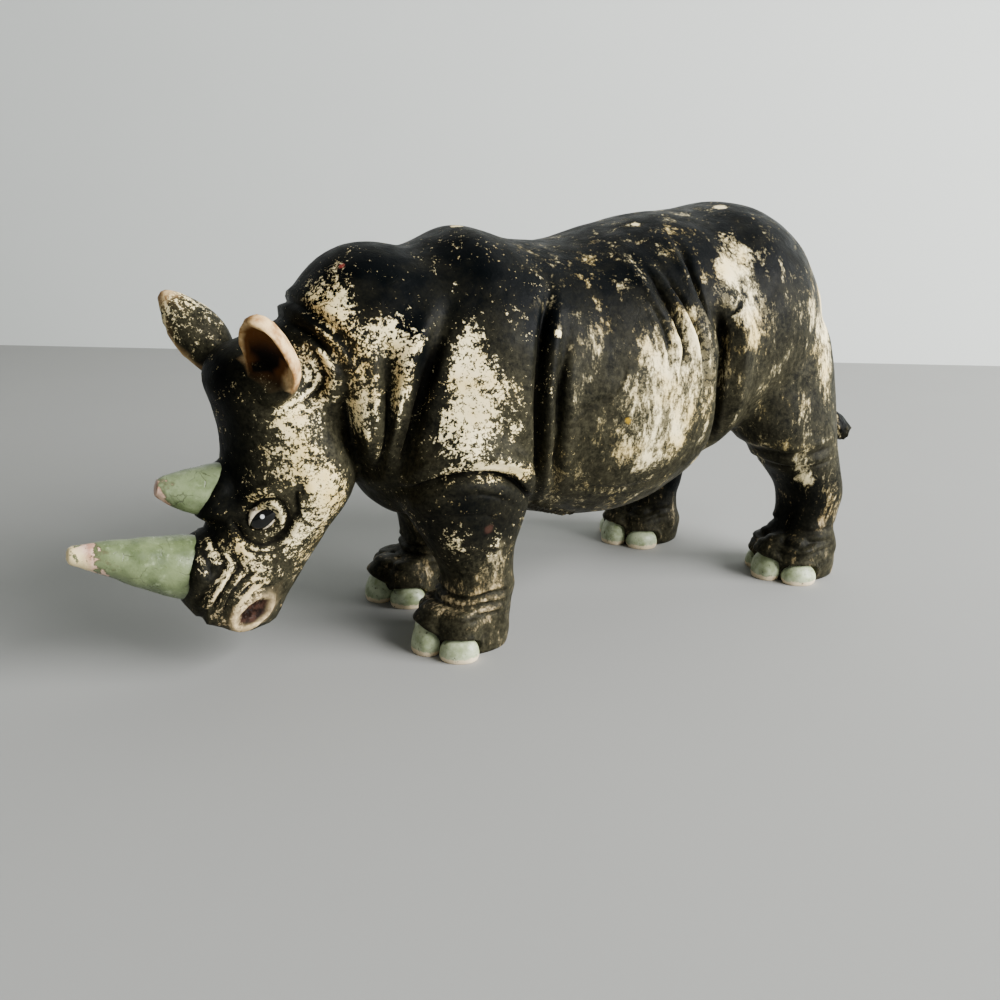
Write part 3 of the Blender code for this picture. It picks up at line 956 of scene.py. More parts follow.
@dataclass
class Hide:
    """The moulded skin over torso, head, legs, ears and tail, with its folds and wrinkles."""

    trunk: Trunk = field(default_factory=Trunk)
    legs: Legs = field(default_factory=Legs)
    toes: tuple = (
        Toes("left_front_nails", (-1.2, -13.0)),
        Toes("right_front_nails", (0.4, 12.4)),
        Toes("left_hind_nails", (75.6, -16.4)),
        Toes("right_hind_nails", (60.1, 16.4)),
    )
    body_cell: float = 0.6
    body_passes: int = 20
    detail_cell: float = 0.36
    detail_passes: int = 4
    triangles: int = 186000
    left_ear: Ear = Ear((-31.4, -9.8, 48.8), (-36.0, -17.6, 60.6), (-0.86, -0.5, 0.0))
    right_ear: Ear = Ear((-34.0, 10.2, 49.6), (-42.2, 14.8, 61.6), (-0.42, 0.88, 0.1), 0.84)
    horns: tuple = (FRONT_HORN, BACK_HORN)
    # Points along the tail, each with its radius last
    tail: tuple = (
        (82.0, 0.0, 54.0, 3.0),
        (86.2, 0.0, 48.0, 2.7),
        (88.2, -0.4, 41.5, 2.2),
        (89.4, -2.2, 35.5, 1.9),
        (91.6, -4.8, 30.6, 2.4),
        (94.6, -7.2, 27.4, 2.9),
        (97.2, -9.0, 25.6, 1.6),
    )
    # Cuffs of flesh round the bases of the horns, the upper one slanting, each with its radius last
    cuffs: tuple = (
        (
            (-38.0, 0.0, 16.6, 5.4), (-41.6, 0.0, 17.6, 5.8),
            (-43.9, 0.0, 18.2, 5.8), (-44.8, 0.0, 18.4, 5.1),
        ),
        (
            (-36.2, 0.0, 28.7, 5.2), (-39.0, 0.0, 30.5, 5.25),
            (-40.3, 0.0, 31.4, 5.1), (-40.9, 0.0, 31.8, 4.4),
        ),
    )
    # Given for the right flank and repeated on the left
    swellings: tuple = (
        Swelling((2.0, 20.0, 50.0), (13.0, 9.0, 12.0), 1.3),
        Swelling((0.0, 21.0, 37.0), (9.0, 8.0, 6.0), 0.8),
        Swelling((62.0, 20.0, 50.0), (12.0, 10.0, 16.0), 1.2),
        Swelling((31.0, 25.0, 42.0), (12.0, 8.0, 15.0), 0.7),
        # Cheek, hollow under the jaw, brow and eye socket
        Swelling((-25.5, 9.5, 34.0), (6.5, 5.0, 7.5), 1.7),
        Swelling((-24.0, 6.0, 24.0), (4.5, 4.5, 4.5), -0.8),
        Swelling((-35.2, 9.0, 32.0), (4.5, 4.0, 2.4), 1.2),
        Swelling((-34.4, 9.0, 27.7), (3.8, 4.0, 3.2), -0.8),
        # Nostril ridge and corner of the lips
        Swelling((-42.5, 7.0, 17.0), (3.6, 3.6, 3.2), 1.0),
        Swelling((-38.5, 7.0, 12.0), (3.4, 3.2, 4.0), 0.9),
        # Collars round the bases of the two horns
        Swelling((-45.4, 5.4, 19.8), (3.4, 3.4, 5.4), 1.2),
        Swelling((-39.6, 3.6, 28.6), (2.6, 3.0, 2.2), 0.7),
    )
    folds: tuple = (
        # Behind the cheek, the two rolls of the neck, and the front of the shoulder
        Fold(((-21.6, 52.0), (-21.0, 45.4), (-19.0, 38.4), (-17.0, 33.9), (-17.0, 30.0)), 1.6, 1.5, 0.5),
        Fold(((-15.0, 57.0), (-14.6, 51.0), (-15.0, 44.5), (-15.3, 38.0), (-14.6, 30.0)), 1.6, 1.2, 0.8, -1),
        Fold(
            ((-1.0, 64.0), (-7.3, 54.3), (-9.7, 49.1), (-11.4, 43.0), (-12.6, 37.0), (-13.0, 27.0)),
            2.2, 1.5, 1.0, -1,
        ),
        # The pair of upright folds behind the shoulder
        Fold(
            ((15.6, 65.0), (11.8, 57.9), (9.7, 51.6), (8.9, 42.8), (10.2, 32.0), (12.6, 22.0)),
            1.7, 1.1, 0.7,
        ),
        Fold(((15.0, 57.0), (12.9, 48.0), (12.7, 40.4), (12.9, 34.0), (15.6, 24.0)), 1.1, 1.0, 0.4),
        # The hide's edge over the top of the front leg
        Fold(
            ((-14.0, 26.0), (-11.9, 30.9), (-9.0, 33.3), (-5.4, 34.2),
             (-0.1, 34.0), (3.8, 32.4), (7.4, 29.2), (13.0, 24.0)),
            1.8, 1.3, 1.1,
        ),
        # Creases of the loin and the deep groove before the thigh
        Fold(((31.4, 69.0), (33.6, 61.0), (35.8, 55.0), (36.2, 50.0), (34.0, 42.0)), 0.6, 0.9, 0.4, -1),
        Fold(((35.0, 68.5), (38.0, 59.0), (39.8, 54.0), (41.2, 48.0), (41.0, 40.0)), 0.6, 0.8, 0.4, -1),
        Fold(((42.4, 71.0), (41.6, 63.2), (42.4, 58.5), (45.4, 53.0)), 0.6, 0.8, 0.3, -1),
        Fold(
            ((42.6, 62.0), (46.6, 55.0), (47.6, 50.2), (47.4, 43.9), (48.6, 35.6), (50.5, 25.0)),
            2.7, 2.0, 1.2,
        ),
        # Rolls of the nape, and the fold round the base of the ear
        Fold(((-29.8, 61.0), (-25.0, 57.0), (-22.4, 54.0), (-21.0, 51.0), (-20.6, 46.0)), 1.1, 1.0, 0.7),
        Fold(((-27.4, 63.5), (-22.9, 58.6), (-20.2, 55.2), (-18.0, 50.0)), 1.0, 0.9, 0.6),
        Fold(((-25.6, 54.3), (-23.9, 51.6), (-23.8, 48.1), (-26.2, 45.4), (-30.6, 44.2)), 1.0, 1.0, 0.7),
    )
    wrinkles: tuple = (
        # Crisp floors of the neck's rolls
        Fold(((-20.6, 48.5), (-20.2, 44.5), (-19.2, 40.4), (-17.8, 36.0), (-16.6, 31.5)), 0.8, 0.45, 0.3, 1),
        Fold(((-14.4, 51.0), (-14.6, 45.7), (-14.9, 40.9), (-15.4, 35.4), (-14.9, 30.0)), 0.9, 0.4, 0.3, -1),
        Fold(((-4.6, 57.5), (-6.7, 53.7), (-8.6, 49.6), (-9.9, 45.5), (-11.0, 41.0), (-12.3, 36.0),
              (-13.2, 30.0)), 1.0, 0.5, 0.3, -1),
        Fold(((-17.6, 52.0), (-17.8, 46.0), (-17.4, 41.0), (-16.6, 37.0)), 0.35, 0.5, 0.15, 1),
        Fold(((-12.4, 50.0), (-12.6, 45.0), (-13.2, 40.0), (-13.8, 36.0)), 0.3, 0.5, 0.15, 1),
        # Crisp arcs over the nape and round the base of the ear
        Fold(((-26.0, 59.0), (-23.7, 58.2), (-22.0, 56.6), (-20.6, 54.8), (-19.8, 52.8), (-19.6, 50.0)),
             0.5, 0.35, 0.25),
        Fold(((-27.0, 57.5), (-24.5, 56.8), (-23.0, 54.6), (-21.9, 52.4), (-21.2, 50.0)), 0.5, 0.35, 0.25),
        Fold(((-27.4, 56.0), (-25.0, 54.3), (-23.6, 51.8), (-23.1, 49.4), (-24.6, 47.0), (-27.9, 45.9),
              (-31.6, 46.0)), 0.5, 0.35, 0.3),
        Fold(((-26.8, 53.4), (-25.2, 51.6), (-24.9, 49.8), (-26.2, 48.2), (-29.0, 47.4)), 0.4, 0.3, 0.25),
        # Rings round the eye
        Fold(((-36.3, 25.6), (-36.2, 28.2), (-35.3, 29.7), (-34.2, 30.6), (-32.6, 31.0), (-31.4, 30.0),
              (-30.7, 28.2), (-30.8, 26.8), (-31.4, 25.2), (-32.8, 24.0), (-34.6, 23.9)),
             0.8, 0.38, 0.45, -1, fade=0.1),
        Fold(((-38.3, 27.6), (-38.0, 26.0), (-37.2, 24.3), (-35.3, 23.1), (-33.3, 23.0), (-31.2, 24.2),
              (-29.8, 26.9), (-29.7, 29.5)), 0.9, 0.45, 0.5, -1, fade=0.15),
        Fold(((-38.4, 25.0), (-36.9, 22.6), (-34.4, 21.7), (-31.8, 22.3), (-30.0, 24.0)), 0.6, 0.4, 0.4, -1),
        Fold(((-38.0, 30.8), (-36.4, 32.4), (-34.2, 33.6), (-32.4, 33.6)), 0.7, 0.45, 0.4, -1),
        Fold(((-29.5, 33.2), (-29.4, 31.0), (-29.0, 28.6), (-28.6, 26.8)), 0.8, 0.45, 0.4),
        Fold(((-28.6, 34.4), (-28.4, 32.2), (-27.9, 30.2)), 0.5, 0.45, 0.25),
        # Grooves between the horns and the eye, and the wrinkles of the muzzle
        Fold(((-43.6, 23.8), (-43.2, 21.6), (-42.9, 19.8), (-43.4, 17.6)), 0.6, 0.4, 0.35, -1),
        Fold(((-41.6, 25.0), (-41.2, 22.6), (-40.6, 20.4)), 0.5, 0.45, 0.35, -1),
        Fold(((-39.8, 24.4), (-39.2, 21.6), (-38.4, 19.6), (-37.0, 18.6)), 0.5, 0.45, 0.3, -1),
        Fold(((-39.2, 21.6), (-41.0, 19.6), (-42.8, 17.6), (-44.6, 15.4), (-46.0, 12.6)), 1.5, 0.55, 0.7),
        Fold(((-37.2, 20.2), (-39.4, 18.8), (-41.2, 16.6), (-42.8, 14.0), (-44.2, 11.0)), 1.6, 0.55, 0.7),
        Fold(((-35.2, 18.8), (-38.0, 17.6), (-40.2, 15.8), (-41.6, 13.4), (-42.8, 10.2)), 1.5, 0.55, 0.7),
        Fold(((-34.6, 17.2), (-37.2, 16.4), (-39.6, 14.8), (-40.8, 12.6), (-41.4, 9.6)), 1.1, 0.45, 0.5),
        Fold(((-44.4, 14.0), (-44.8, 11.6), (-44.2, 9.4)), 0.7, 0.45, 0.4),
        Fold(((-33.0, 16.2), (-35.2, 15.4), (-37.4, 15.0)), 0.3, 0.35, 0.2),
        # Creases at the shoulder, the elbow, over the front feet and over the hind feet
        Fold(((-10.3, 29.0), (-6.8, 30.6), (-2.4, 30.8), (2.6, 28.8), (6.4, 25.6)), 0.3, 0.35, 0.1),
        Fold(((-9.3, 26.2), (-6.1, 27.2), (-0.9, 26.6), (3.6, 24.4)), 0.25, 0.35, 0.1),
        Fold(((-7.2, 20.0), (-4.0, 19.4), (0.8, 19.8), (6.0, 18.6)), 0.3, 0.5, 0.2),
        Fold(((-6.4, 11.4), (-2.8, 10.4), (1.4, 11.2), (6.4, 11.0)), 0.45, 0.45, 0.3),
        Fold(((-7.6, 9.4), (-3.9, 8.8), (0.4, 9.4), (5.6, 9.2)), 0.45, 0.4, 0.3),
        Fold(((-8.4, 7.4), (-5.2, 7.4), (-2.0, 7.6), (2.4, 7.6), (6.4, 7.0)), 0.4, 0.35, 0.25),
        Fold(((58.0, 30.6), (62.0, 28.6), (67.1, 27.6), (74.0, 28.2), (80.0, 29.6)), 0.45, 0.8, 0.15),
        Fold(((64.2, 26.0), (68.1, 24.6), (73.4, 25.2), (79.4, 26.4)), 0.4, 0.5, 0.25),
        Fold(((71.4, 11.2), (75.0, 10.4), (79.4, 10.8), (83.6, 10.4)), 0.35, 0.45, 0.2),
        Fold(((67.6, 8.2), (71.4, 7.8), (75.8, 8.4), (82.0, 8.0)), 0.45, 0.4, 0.3),
        Fold(((67.4, 6.6), (71.0, 6.2), (75.0, 6.6), (80.0, 6.4)), 0.35, 0.35, 0.25),
        Fold(((52.0, 8.2), (56.4, 7.8), (60.8, 8.4), (66.4, 8.0)), 0.45, 0.4, 0.3, side=Side.RIGHT),
        Fold(((51.8, 6.6), (55.6, 6.2), (59.6, 6.6), (64.6, 6.4)), 0.35, 0.35, 0.25, side=Side.RIGHT),
        # Crisp floors of the folds behind the shoulder and at the flank
        Fold(((13.6, 61.5), (11.4, 57.0), (9.8, 51.6), (9.0, 43.0), (10.0, 33.0), (12.0, 25.0)),
             0.7, 0.45, 0.2),
        Fold(((14.3, 53.6), (12.9, 47.0), (12.7, 40.4), (12.9, 34.0), (15.0, 26.0)), 0.5, 0.4, 0.2),
        Fold(((-12.2, 29.6), (-10.4, 32.4), (-7.4, 33.9), (-3.4, 34.3), (0.6, 33.8), (4.4, 31.9),
              (8.0, 28.4), (11.6, 25.4)), 0.7, 0.4, 0.5, 1, fade=0.15),
        Fold(((33.2, 65.8), (34.0, 61.4), (35.3, 56.6), (36.2, 52.0), (35.4, 46.5)), 0.6, 0.4, 0.35, -1),
        Fold(((35.6, 65.6), (37.2, 61.0), (38.8, 56.4), (40.1, 51.9), (40.6, 46.0)), 0.6, 0.4, 0.35, -1),
        Fold(((42.4, 68.0), (41.7, 64.6), (41.9, 60.4), (43.0, 56.6), (44.8, 53.4)), 0.6, 0.4, 0.3, -1),
        Fold(((31.0, 60.0), (32.4, 55.6), (33.0, 51.0), (32.4, 46.5)), 0.3, 0.45, 0.2, -1),
        Fold(((45.0, 57.4), (47.1, 54.6), (47.6, 50.2), (47.3, 44.0), (48.4, 36.0), (50.4, 28.5)),
             0.8, 0.55, 0.4),
        Fold(((51.6, 59.2), (49.4, 57.4), (47.4, 56.0)), 0.4, 0.4, 0.2),
        # Fine creases over the belly
        Fold(((24.6, 50.4), (23.9, 47.4), (21.4, 44.8), (17.0, 42.8), (13.4, 40.4)), 0.3, 0.35, 0.15),
        Fold(((27.4, 35.6), (31.6, 34.4), (36.0, 35.2)), 0.2, 0.4, 0.1),
        Fold(((16.0, 29.6), (22.0, 27.6), (30.0, 27.0), (38.0, 28.4)), 0.25, 0.6, 0.15),
    )
    # The oval of the mouth in side view: its middle, half length, half height and tilt
    mouth_middle: tuple = (-36.9, 11.6)
    mouth_radii: tuple = (3.3, 1.8)
    mouth_tilt: float = 28.0
    lip_rise: float = 0.45
    mouth_depth: float = 0.6
    # The flesh's lip round each nail, and the groove inside it
    nail_lip: float = 0.6
    nail_groove: float = 0.35
    lump_rise: float = 0.16
    lump_size: float = 4.5
    ankle_rise: float = 0.55
    ankle_size: float = 3.4
    tuft_rise: float = 0.5
    strokes: Strokes = Strokes()

    def wrapped(self) -> bpy.types.Mesh:
        """Wraps all the forms in one even skin, still without folds.

        Returns:
            The skin, finest at what is added to the body.
        """
        body = modified(
            joined([*self.trunk.forms(), *self.legs.forms()]),
            "REMESH", mode="VOXEL", voxel_size=self.body_cell,
        )
        body = modified(body, "SMOOTH", factor=0.5, iterations=self.body_passes)
        ears = [self.left_ear.form(), self.right_ear.form()]
        flesh = [form for toes in self.toes for form in toes.flesh()]
        cuffs = [tube(cuff) for cuff in self.cuffs]
        whole = joined([body, tube(self.tail), *ears, *flesh, *cuffs])
        whole = modified(whole, "REMESH", mode="VOXEL", voxel_size=self.detail_cell)
        return modified(whole, "SMOOTH", factor=0.5, iterations=self.detail_passes)

    def mouth_reach(self, points: np.ndarray) -> np.ndarray:
        """Each point's distance from the middle of the mouth, 1 at its edge."""
        return oval_reach(points, self.mouth_middle, self.mouth_radii, self.mouth_tilt)

    def carved(self, mesh: bpy.types.Mesh) -> bpy.types.Mesh:
        """Raises the muscles and presses in the folds, the large ones before the fine ones.

        Args:
            mesh: The even skin.

        Returns:
            The same mesh, carved.
        """
        points = places(mesh)
        raised(mesh, sum(form.lift(points) for form in (*self.swellings, *self.folds)))
        points = places(mesh)
        move = sum(fold.lift(points) for fold in self.wrinkles)
        reach = self.mouth_reach(points)
        lips = self.lip_rise * np.exp(-(((reach - 1.16) / 0.15) ** 2))
        move += lips - self.mouth_depth * (1 - eased((reach - 0.75) / 0.25))
        move += self.lump_rise * grain(points, self.lump_size, 3.7)
        ankle = eased((points[:, 2] - 1.5) / 3) * (1 - eased((points[:, 2] - 9) / 6))
        move += self.ankle_rise * ankle * grain(points, self.ankle_size, 6.1)
        for toes in self.toes:
            gap = toes.clearance(points)
            above = eased((points[:, 2] - 0.8) / 2.0)
            lip = self.nail_lip * np.exp(-(((gap - 0.8) / 0.5) ** 2))
            move += above * (lip - self.nail_groove * np.exp(-((gap / 0.35) ** 2)))
        move += self.strokes.lift(points)
        move += self.tuft_rise * self.tuft_at(points) * self.tuft_strands(points)
        return raised(mesh, move)

    def tuft_at(self, points: np.ndarray) -> np.ndarray:
        """How far each point belongs to the tuft at the tail's end, from 0 to 1."""
        return eased((points[:, 0] - 88.6) / 2.5) * (1 - eased((points[:, 2] - 33) / 4))

    def tuft_strands(self, points: np.ndarray) -> np.ndarray:
        """Long grooves between the hairs of the tuft, from -1 to 1.

        Args:
            points: Places in grid units.

        Returns:
            One number for each point.
        """
        run = Vector(self.tail[-1][:3]) - Vector(self.tail[-4][:3])
        turn = np.array(run.to_track_quat("Z", "Y").to_matrix())
        return grain((points @ turn) / np.array([1.0, 1.0, 9.0]), 0.9, 2.9)

    def stood(self, mesh: bpy.types.Mesh) -> bpy.types.Mesh:
        """Cuts the feet level at the floor and closes each with one flat sole.

        Args:
            mesh: The carved skin, which is used up.

        Returns:
            The skin on flat soles.
        """
        bm = bmesh.new()
        bm.from_mesh(mesh)
        bpy.data.meshes.remove(mesh)
        cut_level(bm, 0.0)
        return as_mesh(bm, "hide")

    def thinned(self, mesh: bpy.types.Mesh) -> bpy.types.Mesh:
        """Brings the mesh down to its number of triangles, with the head kept finest.

        Args:
            mesh: The skin, which is used up.

        Returns:
            The lighter skin.
        """
        before = sum(len(face.vertices) - 2 for face in mesh.polygons)
        points = places(mesh)
        head = 1 - eased((points[:, 0] + 24) / 14)
        weights = 0.25 + 0.75 * head
        return modified(
            mesh, "DECIMATE", weights=weights, vertex_group_factor=1.0,
            ratio=min(1.0, self.triangles / before), use_collapse_triangulate=True,
        )

    def dressed(self, mesh: bpy.types.Mesh, wear: "HideWear") -> bpy.types.Mesh:
        """Stores on the mesh what the paint needs to know.

        Args:
            mesh: The finished skin.
            wear: Where its paint is worn.

        Returns:
            The same mesh with its numbers.
        """
        points = places(mesh)
        normals = outwards(mesh)
        fine = sum(fold.lift(points) for fold in self.wrinkles)
        broad = sum(fold.lift(points) for fold in self.folds)
        left, right = self.left_ear, self.right_ear
        reach = self.mouth_reach(points)
        head = points[:, 0] < -28
        beneath = eased((self.mouth_middle[1] + 1.4 - points[:, 2]) / 2.0)
        # Creases, deep folds and the skin round the horns' bases, darkened in the paint as painted shade with
        # some grime
        groove = eased((-fine - 0.12) / 0.45) + 0.6 * eased((-broad - 0.5) / 1.2)
        for horn in self.horns:
            groove = np.maximum(groove, 1 - eased((horn_clearance(points, horn) - 0.1) / 0.45))
        rubbed = wear.field(points, normals, fine, broad)
        far_ear = right.share_at(points)
        far_rubbed = 0.7 * right.along_at(points) - 0.15
        marked(mesh, "rubbed", rubbed * (1 - far_ear) + far_rubbed * far_ear)
        marked(mesh, "smear", wear.smear(points))
        marked(mesh, "groove", np.clip(groove, 0, 1))
        marked(mesh, "glaze", wear.glaze(points, normals) * (1 - far_ear))
        marked(mesh, "ear", np.maximum(left.share_at(points), right.rim_at(points)))
        # How deep in the ears' cups: brown paint there, and painted shade where it is deepest
        marked(mesh, "cup", np.maximum(left.hollow_at(points, normals), right.hollow_at(points, normals)))
        marked(mesh, "mouth", (1 - eased((reach - 0.84) / 0.16)) * head)
        marked(mesh, "lip", np.exp(-(((reach - 1.16) / 0.2) ** 2)) * head * (0.35 + 0.65 * beneath))
        return mesh

    def piece(self, wear: "HideWear", material: bpy.types.Material) -> Piece:
        """The finished hide."""
        mesh = self.thinned(self.stood(self.carved(self.wrapped())))
        return Piece("moulded_hide", self.dressed(mesh, wear), material)


@dataclass
class HideWear:
    """Where handling has rubbed the dark paint off the pale vinyl."""

    left: tuple = (
        # Nape and neck
        Patch((-21.4, 61.0), (3.0, 4.0), 0.56),
        Patch((-17.0, 65.4), (4.6, 3.6), 0.5),
        Patch((-19.0, 56.0), (5.0, 6.5), 0.5),
        Patch((-12.6, 57.0), (4.0, 5.4), 0.66),
        Patch((-18.7, 46.0), (2.4, 6.5), 0.62),
        Patch((-13.2, 48.5), (2.0, 7.5), 0.5),
        # Shoulder and the hide's edge over the leg
        Patch((-2.4, 47.5), (4.4, 8.0), 0.95, -10.0),
        Patch((-4.4, 40.5), (5.0, 5.0), 0.62),
        Patch((2.6, 44.0), (4.6, 7.0), 0.4),
        Patch((-1.6, 57.0), (2.2, 6.0), 0.62, -20.0),
        Patch((1.0, 34.0), (8.0, 2.2), 0.9, -6.0),
        Patch((-7.8, 33.2), (3.0, 1.6), 0.55, 20.0),
        # Front leg
        Patch((-5.2, 23.6), (3.4, 5.0), 0.5),
        Patch((1.6, 17.0), (3.2, 8.0), 0.5),
        Patch((-2.0, 10.0), (7.0, 7.0), 0.45),
        # Flank and loin
        Patch((33.0, 47.5), (6.4, 10.5), 0.62, -12.0),
        Patch((33.2, 36.6), (6.4, 9.0), 0.62, -30.0),
        Patch((25.6, 40.0), (4.8, 8.0), 0.54),
        Patch((41.0, 50.0), (2.4, 9.0), 0.45),
        Patch((22.8, 60.0), (2.6, 3.0), 0.5),
        Patch((38.6, 58.0), (3.4, 7.0), 0.5, -15.0),
        Patch((42.6, 44.0), (2.4, 9.0), 0.5),
        # Rump, thigh and hock
        Patch((51.0, 61.0), (6.4, 6.0), 0.85, -8.0),
        Patch((54.0, 55.0), (4.0, 5.4), 0.66),
        Patch((63.0, 62.0), (7.0, 4.0), 0.6),
        Patch((75.6, 50.0), (3.4, 14.0), 0.8),
        Patch((70.0, 58.0), (5.0, 6.0), 0.4),
        Patch((66.0, 51.0), (7.0, 9.0), 0.2),
        Patch((64.6, 29.6), (3.0, 1.6), 0.5, 10.0),
        Patch((75.2, 30.0), (2.0, 1.2), 0.45),
        Patch((72.6, 22.2), (1.9, 1.7), 0.85),
        Patch((79.2, 18.6), (1.3, 3.0), 0.6),
        # Cheek, jaw and round the eye
        Patch((-24.4, 31.4), (3.8, 6.4), 0.96, 15.0),
        Patch((-26.4, 25.0), (4.6, 6.0), 0.56, 30.0),
        Patch((-29.0, 18.6), (4.0, 5.0), 0.44, 30.0),
        Patch((-28.8, 41.4), (5.6, 7.0), 0.64),
        Patch((-24.8, 50.0), (2.6, 5.0), 0.66),
        Patch((-35.2, 30.2), (3.6, 3.0), 0.7),
        Patch((-32.6, 25.6), (5.0, 4.0), 0.6),
        Patch((-30.6, 36.4), (3.4, 4.4), 0.4),
        Patch((-38.6, 18.6), (5.6, 6.4), 0.8, 40.0),
        Patch((-40.0, 13.0), (5.0, 5.0), 0.66, 40.0),
        # Kept black: the front of the face
        Patch((-39.0, 41.0), (4.4, 13.0), -0.8, 4.0),
        Patch((-41.6, 28.0), (2.6, 3.0), -0.4),
    )
    right: tuple = (
        Patch((-19.0, 57.0), (5.0, 6.5), 0.7),
        Patch((-16.0, 46.0), (3.0, 8.0), 0.65),
        Patch((-3.0, 45.0), (6.0, 10.0), 0.9, 12.0),
        Patch((3.8, 55.0), (4.0, 5.0), 0.6),
        Patch((0.5, 33.6), (7.6, 1.5), 0.75, -6.0),
        Patch((2.0, 18.0), (3.6, 8.0), 0.45),
        Patch((26.0, 48.0), (8.6, 9.0), 0.8, 20.0),
        Patch((33.0, 36.0), (8.0, 7.0), 0.7, -20.0),
        Patch((20.0, 38.0), (3.6, 7.0), 0.5),
        Patch((56.0, 60.0), (9.0, 5.0), 0.75, -12.0),
        Patch((70.0, 54.0), (7.0, 8.0), 0.6),
        Patch((64.0, 44.0), (6.0, 8.0), 0.5),
        Patch((59.0, 24.0), (3.0, 2.4), 0.8),
        Patch((-25.0, 33.0), (5.6, 7.0), 0.9),
        Patch((-28.4, 22.0), (5.0, 5.0), 0.6),
        Patch((-28.0, 43.0), (5.6, 6.0), 0.7),
        Patch((-34.0, 29.0), (5.0, 4.0), 0.5),
        Patch((-37.6, 17.0), (5.6, 6.0), 0.6, 40.0),
        Patch((-39.0, 38.0), (4.4, 16.0), -0.8, 4.0),
        Patch((-41.0, 26.8), (3.0, 4.0), -0.5),
    )
    # Rubbed high on the left of the rump, where the back is otherwise black
    high: tuple = (
        Patch((50.4, 66.6), (7.4, 5.6), 1.3, -10.0),
        Patch((58.6, 68.0), (8.0, 3.4), 1.0, -14.0),
        Patch((44.0, 61.0), (2.2, 6.0), 0.5, 10.0),
    )
    # Single chips in the paint along the back: x, y, z and radius
    chips: tuple = (
        (4.9, -1.1, 71.7, 1.0), (38.9, -6.5, 71.5, 0.7), (59.5, -5.7, 74.2, 1.1),
        (-15.4, 0.8, 68.0, 0.8), (12.9, -21.7, 55.6, 0.7), (21.0, 9.0, 68.0, 0.8),
        (66.0, 12.0, 70.0, 0.9), (-8.0, 9.0, 66.0, 0.7),
    )
    # Where the paint lies thick and black apart from the back, in side view; low on the hind legs it also
    # stands for painted shade
    thick: tuple = (
        Patch((-40.0, 40.0), (5.0, 18.0), 0.95, 4.0),
        Patch((-44.0, 24.0), (3.6, 8.0), 0.6),
        Patch((-8.5, 46.0), (3.2, 16.0), 0.6, 12.0),
        Patch((-17.0, 36.0), (6.0, 9.0), 0.1),
        Patch((0.0, 26.0), (13.0, 7.5), 0.75),
        Patch((10.5, 50.0), (3.6, 14.0), 0.45),
        # Low on both hind legs: thick paint, darkened partly as painted shade
        Patch((72.0, 16.0), (9.0, 9.0), 0.85),
        Patch((58.0, 16.0), (9.0, 9.0), 0.75),
        Patch((92.0, 34.0), (8.0, 16.0), 1.0),
        Patch((68.0, 36.0), (8.0, 6.0), 0.35),
    )
    base_level: float = -0.18
    # How firmly the paint holds on top of the back, high up, low down and on the tail
    top_hold: float = 0.9
    high_hold: float = 0.6
    low_hold: float = 0.12
    tail_hold: float = 0.6
    # How much more a ridge is rubbed, and a groove less
    fine_wear: float = 0.34
    broad_wear: float = 0.18

    def field(
        self, points: np.ndarray, normals: np.ndarray, fine: np.ndarray, broad: np.ndarray
    ) -> np.ndarray:
        """Works out how rubbed each point is.

        Args:
            points: Places in grid units.
            normals: The way that each place faces.
            fine: Lift of the fine wrinkles there.
            broad: Lift of the large folds there.

        Returns:
            Numbers around 0 where the paint is whole and 1 where it is gone.
        """
        sides = []
        for patches in (self.left, self.right):
            rubbed = [patch.amount_at(points) for patch in patches if patch.amount > 0]
            kept = sum(patch.amount_at(points) for patch in patches if patch.amount < 0)
            sides.append(1 - np.prod([1 - np.clip(amount, 0, 0.98) for amount in rubbed], axis=0) + kept)
        x, y, z = points.T
        right = eased(y / 8 + 0.5)
        level = self.base_level + sides[0] * (1 - right) + sides[1] * right
        top = eased((normals[:, 2] - 0.3) / 0.5) * eased((z - 50) / 12)
        level -= self.top_hold * top * eased((x + 20) / 8)
        level -= self.high_hold * eased((z - 55) / 9) * eased((x + 20) / 10)
        level -= self.low_hold * (1 - eased((z - 26) / 8))
        level += sum(patch.amount_at(points) for patch in self.high) * (1 - right)
        level += self.fine_wear * np.clip(fine / 0.3, -2.0, 1.0)
        level += self.broad_wear * np.clip(broad / 0.6, -2.0, 1.0)
        level -= self.tail_hold * eased((x - 85) / 4)
        for *chip, radius in self.chips:
            away = np.sqrt(((points - np.array(chip)) ** 2).sum(axis=1))
            level = np.maximum(level, 1.2 * (1 - eased((away - radius * 0.5) / radius)))
        return level

    def smear(self, points: np.ndarray) -> np.ndarray:
        """How softly the paint is rubbed: flaked at the front, smeared over flank and rump.

        Args:
            points: Places in grid units.

        Returns:
            One number for each point, from 0 to 1.
        """
        behind = eased((points[:, 0] - 8.0) / 14.0)
        low = 1 - eased((points[:, 2] - 14.0) / 8.0)
        return 0.9 * np.maximum(behind, low * (points[:, 0] > -16))

    def glaze(self, points: np.ndarray, normals: np.ndarray) -> np.ndarray:
        """How thick and black the paint is: full along the back, thin and brown low down, and black low on
        the hind legs as painted shade.

        Args:
            points: Places in grid units.
            normals: The way that each place faces.

        Returns:
            One number for each point, from 0 to 1.
        """
        high = eased((points[:, 2] - 42) / 20)
        up = eased((normals[:, 2] + 0.1) / 0.9)
        level = high * (0.6 + 0.4 * up)
        for patch in self.thick:
            level = level + patch.amount_at(points)
        return np.clip(level, 0.0, 1.0)


